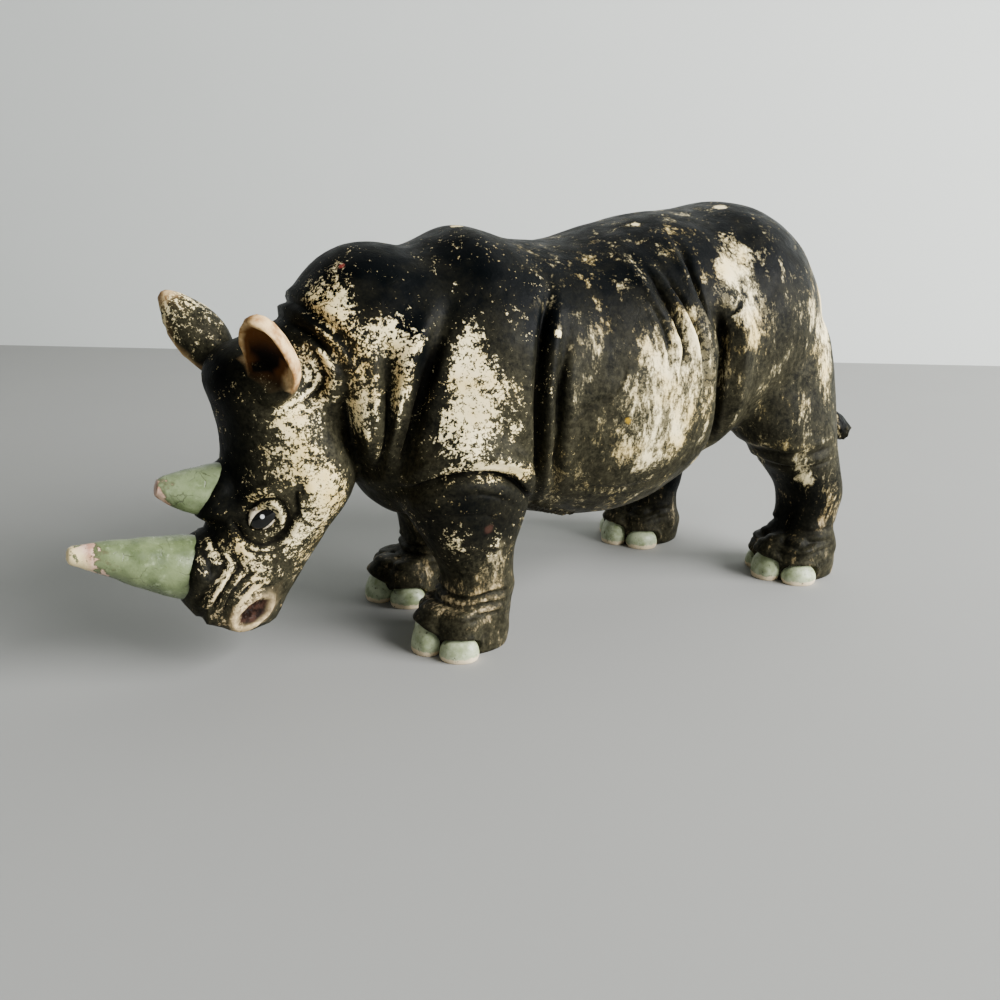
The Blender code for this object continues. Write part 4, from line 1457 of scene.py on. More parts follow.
@dataclass
class Horn:
    """A horn as a smooth taper with dents, set into the face."""

    name: str
    stations: tuple
    material: bpy.types.Material
    ring_points: int = 96
    dent: float = 0.1
    underside: float = 0.06

    def piece(self) -> Piece:
        """The finished horn, marked with how far along it and how far under it each point is.

        Returns:
            The piece, in grid units.
        """
        mesh = joined([tube(self.stations, steps=14, points=self.ring_points)])
        points = places(mesh)
        raised(mesh, self.dent * grain(points, 2.6, 1.3) + 0.4 * self.dent * grain(points, 0.9, 5.1))
        path = np.array(self.stations)[:, :3]
        reach = path[-1] - path[0]
        share = (places(mesh) - path[0]) @ reach / (reach @ reach)
        marked(mesh, "along", share - self.underside * outwards(mesh)[:, 2])
        return Piece(self.name, mesh, self.material)


def surface_of(mesh: bpy.types.Mesh) -> BVHTree:
    """A mesh's surface, ready to be measured from.

    Args:
        mesh: The mesh, which is kept.

    Returns:
        The tree of its faces.
    """
    bm = bmesh.new()
    bm.from_mesh(mesh)
    tree = BVHTree.FromBMesh(bm)
    bm.free()
    return tree


@dataclass
class Eye:
    """A glossy eyeball between two lids, on one side of the head."""

    side: Side
    skin: BVHTree
    ball_material: bpy.types.Material
    lid_material: bpy.types.Material
    middle: tuple = (-34.1, 27.5)
    outward: tuple = (-0.47, 0.88, 0.06)
    tilt: float = 40.0
    ball_radii: tuple = (2.95, 1.75, 1.5)
    ball_sunk: float = 0.5
    half_length: float = 2.7
    half_height: float = 1.25
    lid_radius: float = 0.44
    # The white dot, a painted highlight: along and up from the middle, and its radius
    highlight_place: tuple = (0.35, 0.3)
    highlight_radius: float = 0.34

    def frame(self) -> tuple:
        """The eye's middle on the hide, its way along the lids, its way up and its way out.

        Returns:
            Four vectors, the last three of unit length.
        """
        mirror = Vector((1.0, float(self.side.value), 1.0))
        out = Vector(self.outward).normalized()
        top = Vector((0.0, 0.0, 1.0))
        level = out.cross(top).normalized()
        turn = math.radians(self.tilt)
        upright = (top - out * top.dot(out)).normalized()
        along = level * math.cos(turn) + upright * math.sin(turn)
        upward = upright * math.cos(turn) - level * math.sin(turn)
        start = Vector((self.middle[0], 40.0, self.middle[1])) * mirror
        middle = self.skin.ray_cast(start, Vector((0.0, -1.0, 0.0)) * mirror)[0]
        return middle, along * mirror, upward * mirror, out * mirror

    def ball(self) -> Piece:
        """The eyeball.

        Returns:
            The piece, marked where its painted highlight is.
        """
        middle, along, upward, out = self.frame()
        turned = Matrix((along, upward, out)).transposed().to_4x4()
        place = Matrix.Translation(middle - out * self.ball_sunk)
        shape = place @ turned @ Matrix.Diagonal((*self.ball_radii, 1.0))
        bm = bmesh.new()
        bmesh.ops.create_uvsphere(bm, u_segments=128, v_segments=64, radius=1.0, matrix=shape)
        bmesh.ops.recalc_face_normals(bm, faces=bm.faces)
        mesh = as_mesh(bm, "eyeball")
        aside = places(mesh) - np.array(middle + along * self.highlight_place[0] + upward * self.highlight_place[1])
        aside -= np.outer(aside @ np.array(out), np.array(out))
        marked(mesh, "dot", 1 - eased((np.linalg.norm(aside, axis=1) - self.highlight_radius) / 0.14 + 0.5))
        return Piece(f"{self.side.name.lower()}_eyeball", mesh, self.ball_material)

    def lids(self) -> Piece:
        """The upper and lower lid, each a tapered roll along the edge of the eye.

        Returns:
            Both lids in one piece.
        """
        middle, along, upward, out = (np.array(vector) for vector in self.frame())
        rolls = []
        for height, radius, rise in (
            (self.half_height, self.lid_radius * 1.3, 0.4),
            (-self.half_height * 0.9, self.lid_radius * 0.75, 0.25),
        ):
            stations = []
            for share in np.linspace(-1.0, 1.0, 9):
                bow = 1 - abs(share) ** 2.0
                place = middle + along * share * self.half_length + upward * (height * bow)
                place = place + upward * np.sign(height) * radius * 0.8 * bow
                place = place + out * (rise * bow - 0.15)
                stations.append((*place, radius * (0.4 + 0.6 * bow)))
            rolls.append(tube(tuple(stations), steps=5, points=20))
        return Piece(f"{self.side.name.lower()}_eyelids", joined(rolls), self.lid_material)


# Finishes

Socket = bpy.types.NodeSocket
Tree = bpy.types.NodeTree

SMOOTH = {"interpolation_type": "SMOOTHSTEP"}
TIMES = {"operation": "MULTIPLY"}
TIMES_PLUS = {"operation": "MULTIPLY_ADD"}


def linear(colour: str) -> tuple:
    """Turns an sRGB hex colour into linear red, green, blue and full alpha.

    Args:
        colour: A hash and six hex digits.

    Returns:
        Four numbers from 0 to 1.
    """
    shares = [int(colour[start:start + 2], 16) / 255 for start in (1, 3, 5)]
    turned = [
        share / 12.92 if share <= 0.04045 else ((share + 0.055) / 1.055) ** 2.4 for share in shares
    ]
    return (*turned, 1.0)


def plug(tree: Tree, node: bpy.types.Node, inputs: dict) -> None:
    """Fills a node's sockets with numbers, hex colours and other nodes' outputs.

    Args:
        tree: The material's nodes.
        node: The node that is fed.
        inputs: What goes in, by the sockets' names.
    """
    for name, value in inputs.items():
        if isinstance(value, Socket):
            tree.links.new(value, node.inputs[name])
        else:
            node.inputs[name].default_value = linear(value) if isinstance(value, str) else value


def add_node(
    tree: Tree, kind: str, inputs: dict | tuple = (), output: int | str = 0, **settings: object
) -> Socket:
    """Adds a node to a material.

    Args:
        tree: The material's nodes.
        kind: The node's type, without the words that all of them start with.
        inputs: Numbers, hex colours or outputs, by socket or in the sockets' order.
        output: The socket to go on from.
        settings: Properties of the node.

    Returns:
        The chosen output.
    """
    node = tree.nodes.new("ShaderNode" + kind)
    for name, value in settings.items():
        setattr(node, name, value)
    plug(tree, node, inputs if isinstance(inputs, dict) else dict(enumerate(inputs)))
    return node.outputs[output]


def coated(tree: Tree, under: Socket | str, *coats: tuple) -> Socket:
    """Lays coats of colour over each other.

    Args:
        tree: The material's nodes.
        under: The lowest colour.
        coats: Pairs of a mask and the colour that it lets through.

    Returns:
        The colour that shows.
    """
    for mask, colour in coats:
        under = add_node(tree, "Mix", {0: mask, 6: under, 7: colour}, 2, data_type="RGBA")
    return under


@dataclass(frozen=True)
class Mottle:
    """An uneven pattern with lumps of a real width in millimetres, and the mask cut from it."""

    width: float
    detail: float = 6.0
    roughness: float = 0.6
    distortion: float = 0.0
    low: float = 0.3
    high: float = 0.7
    start: float = 0.0
    end: float = 1.0

    def tones(self, tree: Tree, place: Socket) -> Socket:
        """Random tones from 0 to 1.

        Args:
            tree: The material's nodes.
            place: The place on the figurine, in metres.

        Returns:
            The output with the tones.
        """
        return add_node(tree, "TexNoise", {
            "Vector": place, "Scale": 1 / (self.width * MILLIMETRE), "Detail": self.detail,
            "Roughness": self.roughness, "Distortion": self.distortion,
        })

    def mask(self, tree: Tree, place: Socket) -> Socket:
        """The tones between low and high, brought to the range from start to end."""
        tones = self.tones(tree, place)
        return add_node(tree, "MapRange", (tones, self.low, self.high, self.start, self.end), **SMOOTH)


class Finish:
    """A painted or bare surface, built as nodes before a Principled shader."""

    name: str = "finish"

    def material(self) -> bpy.types.Material:
        """Makes the material.

        Returns:
            The material, ready for a mesh.
        """
        made = bpy.data.materials.new(self.name)
        made.use_nodes = True
        tree = made.node_tree
        place = add_node(tree, "TexCoord", output="Object")
        plug(tree, tree.nodes["Principled BSDF"], self.sockets(tree, place))
        return made

    def sockets(self, tree: Tree, place: Socket) -> dict:
        """What the shader is given.

        Args:
            tree: The material's nodes.
            place: The place on the figurine, in metres.

        Returns:
            Numbers and outputs, by the shader's sockets.
        """
        raise NotImplementedError


@dataclass(frozen=True)
class RubbedHidePaint(Finish):
    """Brushed satin paint over moulded vinyl, rubbed through by handling.

    It gives black with a soft cool sheen where the paint is whole, brown where it is thin,
    and flaked islands of cream vinyl where it is gone, with painted shade in the creases,
    round the horns' bases and deep in the ears' cups.
    """

    name: str = "rubbed_satin_paint_on_moulded_vinyl"
    black: str = "#030506"
    umber: str = "#11110b"
    thin: str = "#211f16"
    dusty: str = "#434030"
    grime_and_painted_shade: str = "#060504"
    vinyl: str = "#ffedb6"
    vinyl_warm: str = "#efd289"
    pink: str = "#d9b096"
    low_tan: str = "#a88f68"
    ear_rim: str = "#ecc890"
    ear_tan: str = "#a87c4c"
    # Near black deep in the ears' cups: painted shade
    ear_brown: str = "#5a3719"
    ear_cup_shade: str = "#0c0603"
    lip: str = "#f0d3a0"
    mouth: str = "#3b2820"
    mouth_dark: str = "#140d0a"
    # Flaked paint: islands, ragged flakes and specks, each with its weight
    flaked: tuple = ((Mottle(5.5, 3.0, 0.55, 0.4), 1.4), (Mottle(1.0, 9.0, 0.74, 0.25), 4.2))
    flaked_specks: float = 2.2
    # Smeared paint, drawn out upright
    smeared: tuple = ((Mottle(3.4, 4.0, 0.6, 0.5), 3.0), (Mottle(0.8, 8.0, 0.74, 0.2), 3.0))
    smeared_specks: float = 0.8
    specks: Mottle = Mottle(0.36, 4.0, 0.65)
    cloud: Mottle = Mottle(6.0, 6.0, 0.6, 0.5)
    scuff: Mottle = Mottle(0.9, 7.0, 0.7, 0.0, 0.42, 0.66, 0.0, 0.6)
    warmth: Mottle = Mottle(9.0, 3.0, low=0.4)
    blotch: Mottle = Mottle(2.4, 5.0, low=0.62, high=0.74, end=0.35)
    stain_edge: Mottle = Mottle(0.9, 6.0, 0.65)
    ear_wash: Mottle = Mottle(2.2, 5.0, low=0.35, high=0.65)
    mouth_wash: Mottle = Mottle(1.4, 5.0, low=0.36, high=0.62)
    lip_wear: Mottle = Mottle(0.8, 6.0, low=0.4, high=0.55, start=0.55)
    dulling: Mottle = Mottle(3.0, 5.0, start=0.38, end=0.56)
    pores: Mottle = Mottle(0.22, 3.0)
    brushing: Mottle = Mottle(1.5, 6.0, 0.6, 0.8)
    # Stains: x, y, z and radius in millimetres, colour and strength
    stains: tuple = (
        (7.4, -25.3, 40.4, 0.8, "#a8851a", 0.75),
        (-35.4, -6.2, 66.4, 0.7, "#8a3a34", 0.8),
        (-17.4, -21.6, 23.9, 1.1, "#5d3e34", 0.35),
        (-44.4, -14.6, 52.6, 0.9, "#4a2530", 0.85),
    )

    def broken(self, tree: Tree, rubbed: Socket, strength: tuple, patterns: tuple) -> Socket:
        """The stored rubbing broken up by patterns, weakly where the paint is whole or gone.

        Args:
            tree: The material's nodes.
            rubbed: The rubbing stored on the mesh.
            strength: The patterns' strength where the paint is whole and where it is rubbed.
            patterns: Pairs of a pattern's tones and its weight.

        Returns:
            A level that is high where the vinyl shows.
        """
        total = 0.0
        for tones, weight in patterns:
            total = add_node(tree, "Math", (tones, weight, total), **TIMES_PLUS)
        middle = sum(weight for _, weight in patterns) / 2
        centred = add_node(tree, "Math", (total, middle), operation="SUBTRACT")
        lively = add_node(tree, "MapRange", (rubbed, -0.2, 0.45, *strength), **SMOOTH)
        calm = add_node(tree, "MapRange", (rubbed, 0.6, 0.85, 1.0, 0.66), **SMOOTH)
        lively = add_node(tree, "Math", (lively, calm), **TIMES)
        return add_node(tree, "Math", (centred, lively, rubbed), **TIMES_PLUS)

    def rubbing(self, tree: Tree, place: Socket) -> tuple:
        """A level with crisp islands and flakes, and one with soft upright smears.

        Args:
            tree: The material's nodes.
            place: The place on the figurine, in metres.

        Returns:
            The crisp level and the soft one.
        """
        rubbed = add_node(tree, "Attribute", output="Fac", attribute_name="rubbed")
        specks = self.specks.tones(tree, place)
        slant = (0.0, math.radians(-14), 0.0)
        drawn = add_node(tree, "Mapping", {"Vector": place, "Rotation": slant, "Scale": (1.0, 1.0, 0.42)})
        flakes = [(pattern.tones(tree, place), weight) for pattern, weight in self.flaked]
        smears = [(pattern.tones(tree, drawn), weight) for pattern, weight in self.smeared]
        crisp = self.broken(tree, rubbed, (0.62, 1.0), (*flakes, (specks, self.flaked_specks)))
        soft = self.broken(tree, rubbed, (0.74, 1.0), (*smears, (specks, self.smeared_specks)))
        return crisp, soft

    def sockets(self, tree: Tree, place: Socket) -> dict:
        """The colour, shine and grain of the worn paint and of the vinyl under it.

        Args:
            tree: The material's nodes.
            place: The place on the figurine, in metres.

        Returns:
            Numbers and outputs, by the shader's sockets.
        """
        crisp, soft = self.rubbing(tree, place)
        smear = add_node(tree, "Attribute", output="Fac", attribute_name="smear")
        flaked = add_node(tree, "MapRange", (crisp, 0.5, 0.55), **SMOOTH)
        smeared = add_node(tree, "MapRange", (soft, 0.22, 0.95), **SMOOTH)
        bare = add_node(tree, "Mix", {0: smear, 2: flaked, 3: smeared})
        thinned = add_node(tree, "Mix", {0: smear, 2: crisp, 3: soft})
        thinned = add_node(tree, "MapRange", (thinned, -0.35, 0.5), **SMOOTH)
        # Creases and the horns' bases darkened: painted shade with some grime
        groove = add_node(tree, "Attribute", output="Fac", attribute_name="groove")
        colour = coated(
            tree, self.paint(tree, place, thinned), (bare, self.plain(tree, place)),
            (add_node(tree, "Math", (groove, 0.8), **TIMES), self.grime_and_painted_shade),
            *self.spots(tree, place), self.ears(tree, place), *self.lips(tree, place),
        )
        grain_height = add_node(tree, "Math", (self.pores.tones(tree, place), 0.14), **TIMES)
        brushed = self.brushing.tones(tree, place)
        height = add_node(tree, "Math", (brushed, 0.55, grain_height), **TIMES_PLUS)
        height = add_node(tree, "Math", (bare, -0.1, height), **TIMES_PLUS)
        dull = self.dulling.mask(tree, place)
        return {
            "Base Color": colour,
            "Roughness": add_node(tree, "Math", (bare, 0.12, dull), **TIMES_PLUS),
            "Specular IOR Level": add_node(tree, "MapRange", (bare, 0.0, 1.0, 0.05, 0.35), **SMOOTH),
            "IOR": 1.45,
            "Normal": add_node(
                tree, "Bump", {"Strength": 0.5, "Distance": 0.35 * MILLIMETRE, "Height": height}
            ),
        }

    def paint(self, tree: Tree, place: Socket, thinned: Socket) -> Socket:
        """The dark paint: blue-black where it is thick and where it stands for painted shade, brown-grey and
        patchy where it is thin.

        Args:
            tree: The material's nodes.
            place: The place on the figurine, in metres.
            thinned: How thin the paint is.

        Returns:
            The paint's colour.
        """
        cloud = self.cloud.tones(tree, place)
        patchy = add_node(tree, "MapRange", (cloud, 0.35, 0.65), **SMOOTH)
        cover = add_node(tree, "MapRange", (cloud, 0.3, 0.7, 1.1, 0.85), **SMOOTH)
        glaze = add_node(tree, "Attribute", output="Fac", attribute_name="glaze")
        return coated(
            tree, self.umber, (patchy, self.thin), (self.scuff.mask(tree, place), self.dusty),
            (add_node(tree, "Math", (thinned, 0.5), **TIMES), self.dusty),
            (add_node(tree, "Math", (glaze, cover), **TIMES), self.black),
        )

    def plain(self, tree: Tree, place: Socket) -> Socket:
        """The bare vinyl: cream, warmer and pinker in blotches, and darker towards the bottom.

        Args:
            tree: The material's nodes.
            place: The place on the figurine, in metres.

        Returns:
            The vinyl's colour.
        """
        height = add_node(tree, "SeparateXYZ", (place,), "Z")
        # Darker tan towards the bottom
        low = add_node(tree, "MapRange", (height, 24 * MILLIMETRE, 10 * MILLIMETRE, 0.0, 0.75), **SMOOTH)
        return coated(
            tree, self.vinyl, (self.warmth.mask(tree, place), self.vinyl_warm),
            (self.blotch.mask(tree, place), self.pink), (low, self.low_tan),
        )

    def spots(self, tree: Tree, place: Socket) -> list:
        """Coats for the few small stains that the figurine has picked up.

        Args:
            tree: The material's nodes.
            place: The place on the figurine, in metres.

        Returns:
            Pairs of a mask and a colour.
        """
        coats = []
        for x, y, z, radius, stain, strength in self.stains:
            middle = (x * MILLIMETRE, y * MILLIMETRE, z * MILLIMETRE)
            away = add_node(tree, "VectorMath", (place, middle), "Value", operation="DISTANCE")
            edge = self.stain_edge.tones(tree, place)
            ragged = add_node(tree, "Math", (edge, radius * MILLIMETRE, away), **TIMES_PLUS)
            outer, inner = radius * 1.5 * MILLIMETRE, radius * 0.9 * MILLIMETRE
            coats.append((add_node(tree, "MapRange", (ragged, outer, inner, 0.0, strength), **SMOOTH), stain))
        return coats

    def ears(self, tree: Tree, place: Socket) -> tuple:
        """A coat for the ears, tan at the rim, brown paint in the cup and painted shade deep in it.

        Args:
            tree: The material's nodes.
            place: The place on the figurine, in metres.

        Returns:
            A mask and a colour.
        """
        cup = add_node(tree, "Attribute", output="Fac", attribute_name="cup")
        brown = add_node(tree, "MapRange", (cup, 0.0, 0.4), **SMOOTH)
        # Near black deep in the cup: painted shade
        dark = add_node(tree, "MapRange", (cup, 0.5, 0.9), **SMOOTH)
        inner = coated(
            tree, self.ear_rim, (self.ear_wash.mask(tree, place), self.ear_tan),
            (brown, self.ear_brown), (dark, self.ear_cup_shade),
        )
        return add_node(tree, "Attribute", output="Fac", attribute_name="ear"), inner

    def lips(self, tree: Tree, place: Socket) -> list:
        """Coats for the cream lips and the brown mouth.

        Args:
            tree: The material's nodes.
            place: The place on the figurine, in metres.

        Returns:
            Pairs of a mask and a colour.
        """
        lip = add_node(tree, "Attribute", output="Fac", attribute_name="lip")
        lip = add_node(tree, "Math", (lip, self.lip_wear.mask(tree, place)), **TIMES)
        inner = coated(tree, self.mouth, (self.mouth_wash.mask(tree, place), self.mouth_dark))
        mouth = add_node(tree, "Attribute", output="Fac", attribute_name="mouth")
        return [(lip, self.lip), (mouth, inner)]


@dataclass(frozen=True)
class CrazedHornPaint(Finish):
    """Glossy pale green paint over vinyl, crazed by age and worn off the tip.

    It gives a soft shine, hairline cracks, dark specks and a bare cream and pink point.
    """

    name: str = "crazed_green_gloss_paint_on_vinyl"
    green: str = "#76835a"
    deep: str = "#566340"
    pale: str = "#9fad84"
    speck: str = "#2a2a1e"
    dirt: str = "#4c3f2c"
    vinyl: str = "#f8e2a8"
    pink: str = "#e2bda6"
    pink_worn: str = "#b98c74"
    worn_from: float = 0.84
    tip_cream: bool = True
    crack_size: float = 3.4
    crack_wander: float = 0.0016
    tone: Mottle = Mottle(3.5, 4.0)
    light: Mottle = Mottle(1.4, 6.0, low=0.55, high=0.75, end=0.7)
    dots: Mottle = Mottle(0.6, 4.0, low=0.66, high=0.73, end=0.7)
    crazed: Mottle = Mottle(3.4, 2.0, low=0.5, high=0.58)
    tip_edge: Mottle = Mottle(2.6, 7.0, 0.62)
    tip_wash: Mottle = Mottle(1.6, 5.0, low=0.4, high=0.62)
    dents: Mottle = Mottle(0.8, 4.0)
    gloss: Mottle = Mottle(1.0, 5.0, start=0.24, end=0.42)

    def sockets(self, tree: Tree, place: Socket) -> dict:
        """The colour, shine and relief of the crazed paint and of the bare tip.

        Args:
            tree: The material's nodes.
            place: The place on the figurine, in metres.

        Returns:
            Numbers and outputs, by the shader's sockets.
        """
        wander = add_node(tree, "TexNoise", {"Vector": place, "Scale": 500.0, "Detail": 4.0}, "Color")
        bent = add_node(
            tree, "Mix", {0: self.crack_wander, 6: place, 7: wander}, 2,
            data_type="RGBA", blend_type="ADD",
        )
        cells = add_node(
            tree, "TexVoronoi", {"Vector": bent, "Scale": 1 / (self.crack_size * MILLIMETRE)},
            "Distance", feature="DISTANCE_TO_EDGE",
        )
        line = add_node(tree, "MapRange", (cells, 0.028, 0.0), **SMOOTH)
        crack = add_node(tree, "Math", (line, self.crazed.mask(tree, place)), **TIMES)
        along = add_node(tree, "Attribute", output="Fac", attribute_name="along")
        worn = add_node(tree, "Math", (self.tip_edge.tones(tree, place), 0.8, along), **TIMES_PLUS)
        edge = self.worn_from + 0.4
        soiled = add_node(tree, "MapRange", (worn, edge - 0.07, edge), **SMOOTH)
        bare = coated(tree, self.pink, (self.tip_wash.mask(tree, place), self.pink_worn))
        if self.tip_cream:
            bare = coated(tree, bare, (add_node(tree, "MapRange", (along, 0.84, 0.94), **SMOOTH), self.vinyl))
        colour = coated(
            tree, self.deep, (self.tone.mask(tree, place), self.green),
            (self.light.mask(tree, place), self.pale),
            (add_node(tree, "Math", (crack, 0.6), **TIMES), self.speck),
            (self.dots.mask(tree, place), self.speck),
            (add_node(tree, "Math", (soiled, 0.55), **TIMES), self.dirt),
            (add_node(tree, "MapRange", (worn, edge, edge + 0.03), **SMOOTH), bare),
        )
        height = add_node(tree, "Math", (crack, -0.6, self.dents.tones(tree, place)), **TIMES_PLUS)
        return {
            "Base Color": colour,
            "Roughness": self.gloss.mask(tree, place),
            "IOR": 1.5,
            "Normal": add_node(
                tree, "Bump", {"Strength": 0.3, "Distance": 0.2 * MILLIMETRE, "Height": height}
            ),
        }


@dataclass(frozen=True)
class NailPaint(Finish):
    """Glossy pale green paint on the moulded nails, rubbed to cream at the floor."""

    name: str = "green_gloss_paint_on_moulded_nails"
    green: str = "#8f9a72"
    pale: str = "#c0c9a6"
    dirt: str = "#3a3424"
    vinyl: str = "#ecd9b4"
    tone: Mottle = Mottle(2.2, low=0.35, high=0.65)
    edge: Mottle = Mottle(1.2, 5.0)
    specks: Mottle = Mottle(0.7, 5.0, low=0.6, high=0.68, end=0.85)
    brushing: Mottle = Mottle(0.9, 5.0)

    def sockets(self, tree: Tree, place: Socket) -> dict:
        """The colour, shine and brush marks of the nails.

        Args:
            tree: The material's nodes.
            place: The place on the figurine, in metres.

        Returns:
            Numbers and outputs, by the shader's sockets.
        """
        height = add_node(tree, "SeparateXYZ", (place,), "Z")
        edge = self.edge.tones(tree, place)
        ragged = add_node(tree, "Math", (edge, -1.6 * MILLIMETRE, height), **TIMES_PLUS)
        bare = add_node(tree, "MapRange", (ragged, 0.3 * MILLIMETRE, 0.0), **SMOOTH)
        marks = self.brushing.tones(tree, place)
        return {
            "Base Color": coated(
                tree, self.green, (self.tone.mask(tree, place), self.pale),
                (bare, self.vinyl), (self.specks.mask(tree, place), self.dirt),
            ),
            "Roughness": 0.34,
            "IOR": 1.5,
            "Normal": add_node(
                tree, "Bump", {"Strength": 0.25, "Distance": 0.2 * MILLIMETRE, "Height": marks}
            ),
        }


@dataclass(frozen=True)
class EyeGloss(Finish):
    """Thick black gloss enamel with a small white dot as a painted highlight, and a wet shine."""

    name: str = "black_gloss_enamel_with_white_dot"
    black: str = "#020303"
    brown: str = "#0c0a09"
    white: str = "#ffffff"
    tone: Mottle = Mottle(1.0, 2.0, low=0.4)

    def sockets(self, tree: Tree, place: Socket) -> dict:
        """The colour and shine of the enamel.

        Args:
            tree: The material's nodes.
            place: The place on the figurine, in metres.

        Returns:
            Numbers and outputs, by the shader's sockets.
        """
        # The white dot is a painted highlight
        dot = add_node(tree, "Attribute", output="Fac", attribute_name="dot")
        colour = coated(tree, self.black, (self.tone.mask(tree, place), self.brown), (dot, self.white))
        return {"Base Color": colour, "Roughness": 0.07, "IOR": 1.5}


@dataclass(frozen=True)
class LidVinyl(Finish):
    """Cream moulded vinyl of the eyelids, satin, with brown paint left on it in streaks."""

    name: str = "cream_vinyl_with_paint_traces"
    vinyl: str = "#dccdb0"
    brown: str = "#4a3e34"
    streaks: Mottle = Mottle(1.1, 6.0, 0.65, low=0.48, high=0.58)

    def sockets(self, tree: Tree, place: Socket) -> dict:
        """The colour and shine of the lids.

        Args:
            tree: The material's nodes.
            place: The place on the figurine, in metres.

        Returns:
            Numbers and outputs, by the shader's sockets.
        """
        colour = coated(tree, self.vinyl, (self.streaks.mask(tree, place), self.brown))
        return {"Base Color": colour, "Roughness": 0.45}


@dataclass(frozen=True)
class StagePaint(Finish):
    """Matt pale board of the floor and the wall behind, clouded a little."""

    name: str = "matt_pale_grey_board"
    colour: str = "#9a9a97"
    cloud: str = "#8e8e8b"
    clouding: Mottle = Mottle(60.0, 2.0, end=0.1)

    def sockets(self, tree: Tree, place: Socket) -> dict:
        """The colour and dullness of the board.

        Args:
            tree: The material's nodes.
            place: The place on the figurine, in metres.

        Returns:
            Numbers and outputs, by the shader's sockets.
        """
        colour = coated(tree, self.colour, (self.clouding.mask(tree, place), self.cloud))
        return {"Base Color": colour, "Roughness": 0.75, "Specular IOR Level": 0.2}


# The whole


@dataclass
class Figurine:
    """All the pieces, moved together into the box of the solid."""

    hide: Hide = field(default_factory=Hide)
    wear: HideWear = field(default_factory=HideWear)

    def pieces(self) -> list:
        """Builds every piece in grid units.

        Returns:
            The pieces, not yet in the scene.
        """
        nail_paint = NailPaint().material()
        gloss = EyeGloss().material()
        lids = LidVinyl().material()
        hide = self.hide.piece(self.wear, RubbedHidePaint().material())
        made = [
            hide,
            Horn("front_horn", FRONT_HORN, CrazedHornPaint().material()).piece(),
            Horn("back_horn", BACK_HORN, CrazedHornPaint(
                name="crazed_green_gloss_paint_on_back_horn", green="#84916a", deep="#65734c",
                worn_from=0.93, tip_cream=False,
            ).material()).piece(),
        ]
        made += [toes.piece(nail_paint) for toes in self.hide.toes]
        skin = surface_of(hide.mesh)
        for side in (Side.LEFT, Side.RIGHT):
            eye = Eye(side, skin, gloss, lids)
            made += [eye.ball(), eye.lids()]
        return made

    def fitted(self, pieces: list) -> None:
        """Moves all the meshes together so that their box is the solid's.

        Args:
            pieces: All the pieces, in grid units.
        """
        corners = np.vstack([places(piece.mesh) for piece in pieces])
        low, high = corners.min(axis=0), corners.max(axis=0)
        cad_low, cad_high = (np.array(corner) for corner in CAD_BOX)
        scale = (cad_high - cad_low) / (high - low)
        for piece in pieces:
            moved(piece.mesh, (places(piece.mesh) - low) * scale + cad_low)

    def build(self) -> None:
        """Makes the pieces into objects that ride on the figurine's body."""
        pieces = self.pieces()
        self.fitted(pieces)
        for piece in pieces:
            piece.mesh.shade_smooth()
            piece.mesh.materials.clear()
            piece.mesh.materials.append(piece.material)
            made = in_scene(piece.name, piece.mesh)
            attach(made, BODY)
            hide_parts(CAD_NODE)
            LOG.info("%s: %d faces", piece.name, len(piece.mesh.polygons))


def aimed(made: bpy.types.Object, place: tuple, look: Vector) -> None:
    """Stands a light or a camera at its place and turns it to look one way.

    Args:
        made: The object.
        place: Where it stands, in metres.
        look: The way that it looks.
    """
    made.location = place
    made.rotation_mode = "QUATERNION"
    made.rotation_quaternion = look.to_track_quat("-Z", "Y")


@dataclass(frozen=True)
class Softbox:
    """A square light: where it stands, its side, its power and its colour."""

    name: str
    place: tuple
    size: float
    power: float
    colour: str


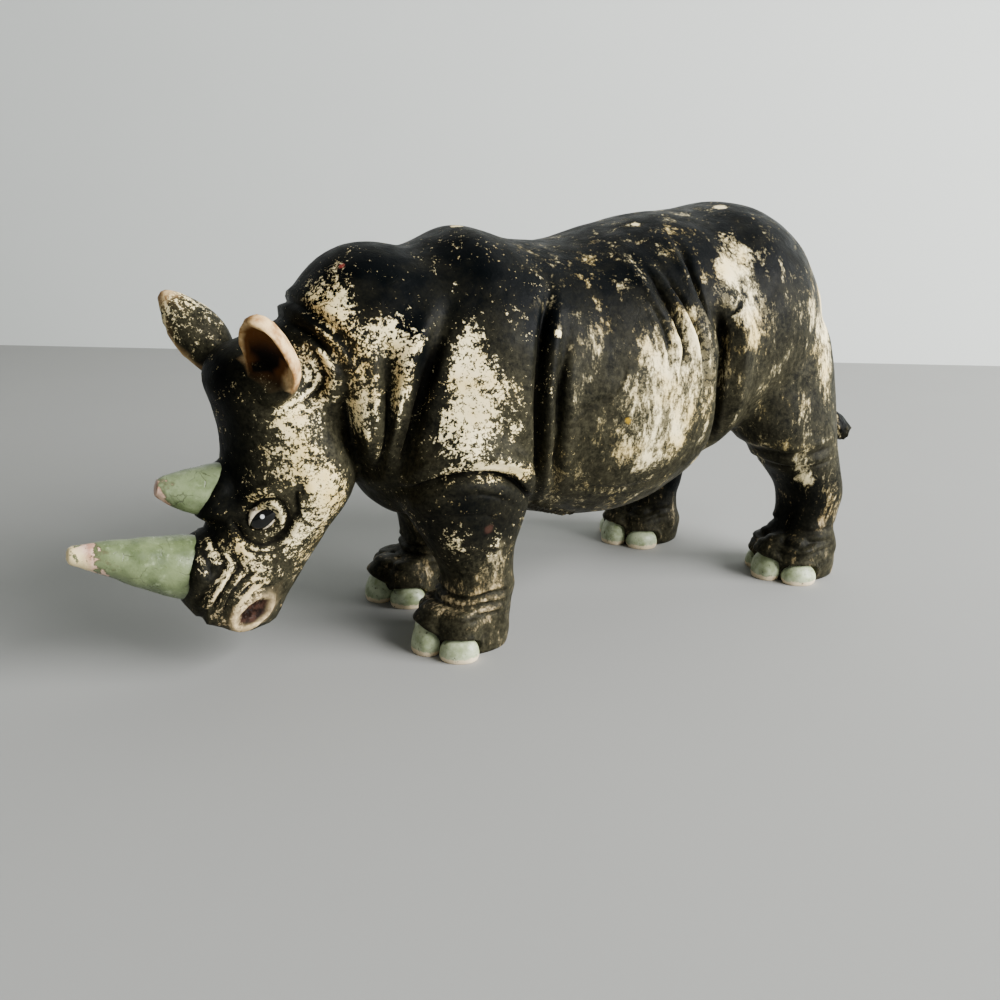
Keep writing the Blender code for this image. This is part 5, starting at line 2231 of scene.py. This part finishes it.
@dataclass
class Studio:
    """The pale floor and wall, the soft window light and the camera."""

    half_floor: float = 1.6
    wall_foot: tuple = (0.1341, 0.2458)
    wall_turn: float = -36.2
    camera_place: tuple = (-0.092397, -0.159437, 0.080)
    camera_heading: float = 29.20405666095213
    camera_pitch: float = 18.0
    lens: float = 36.0
    sensor: float = 36.0
    aim: tuple = (0.0, 0.0, 0.04)
    window: Softbox = Softbox("window", (0.46, -0.58, 0.36), 0.6, 25.0, "#ffffff")
    fill: str = "#d6dcdd"
    fill_strength: float = 0.28

    def floor(self) -> None:
        """The floor and the wall behind."""
        ground = bmesh.new()
        bmesh.ops.create_grid(ground, x_segments=2, y_segments=2, size=self.half_floor)
        wall = bmesh.new()
        turn = Matrix.Rotation(math.radians(self.wall_turn), 4, "Z")
        stand = Matrix.Rotation(math.radians(90), 4, "X")
        place = Matrix.Translation((*self.wall_foot, 0.0))
        upright = place @ turn @ stand
        bmesh.ops.create_grid(wall, x_segments=2, y_segments=2, size=self.half_floor, matrix=upright)
        table = StagePaint().material()
        screen = StagePaint("matt_white_board", "#e0e4e0", "#d3d7d3").material()
        for name, bm, material in (("floor", ground, table), ("wall", wall, screen)):
            mesh = as_mesh(bm, name)
            mesh.materials.append(material)
            in_scene(name, mesh)

    def light(self) -> None:
        """The window's soft light and the pale surroundings."""
        box = self.window
        data = bpy.data.lights.new(box.name, "AREA")
        data.size = box.size
        data.energy = box.power
        data.color = linear(box.colour)[:3]
        made = in_scene(box.name, data)
        made.visible_camera = False
        aimed(made, box.place, Vector(self.aim) - Vector(box.place))
        world = bpy.data.worlds.new("surroundings")
        world.use_nodes = True
        background = world.node_tree.nodes["Background"]
        plug(world.node_tree, background, {"Color": self.fill, "Strength": self.fill_strength})
        bpy.context.scene.world = world

    def camera(self) -> None:
        """The camera at the photograph's viewing angle."""
        heading, pitch = math.radians(self.camera_heading), math.radians(self.camera_pitch)
        look = Vector((
            math.sin(heading) * math.cos(pitch), math.cos(heading) * math.cos(pitch), -math.sin(pitch)
        ))
        data = bpy.data.cameras.new("camera")
        data.sensor_width = self.sensor
        data.lens = self.lens
        data.clip_start = 0.01
        made = in_scene("camera", data)
        aimed(made, self.camera_place, look)
        bpy.context.scene.camera = made

    def build(self) -> None:
        """Sets up the whole studio."""
        self.floor()
        self.light()
        self.camera()


def main() -> None:
    """Builds the studio and the figurine."""
    logging.basicConfig(level=logging.INFO, format="%(name)s: %(message)s")
    Studio().build()
    LOG.info("studio ready")
    Figurine().build()


if __name__ == "__main__":
    main()
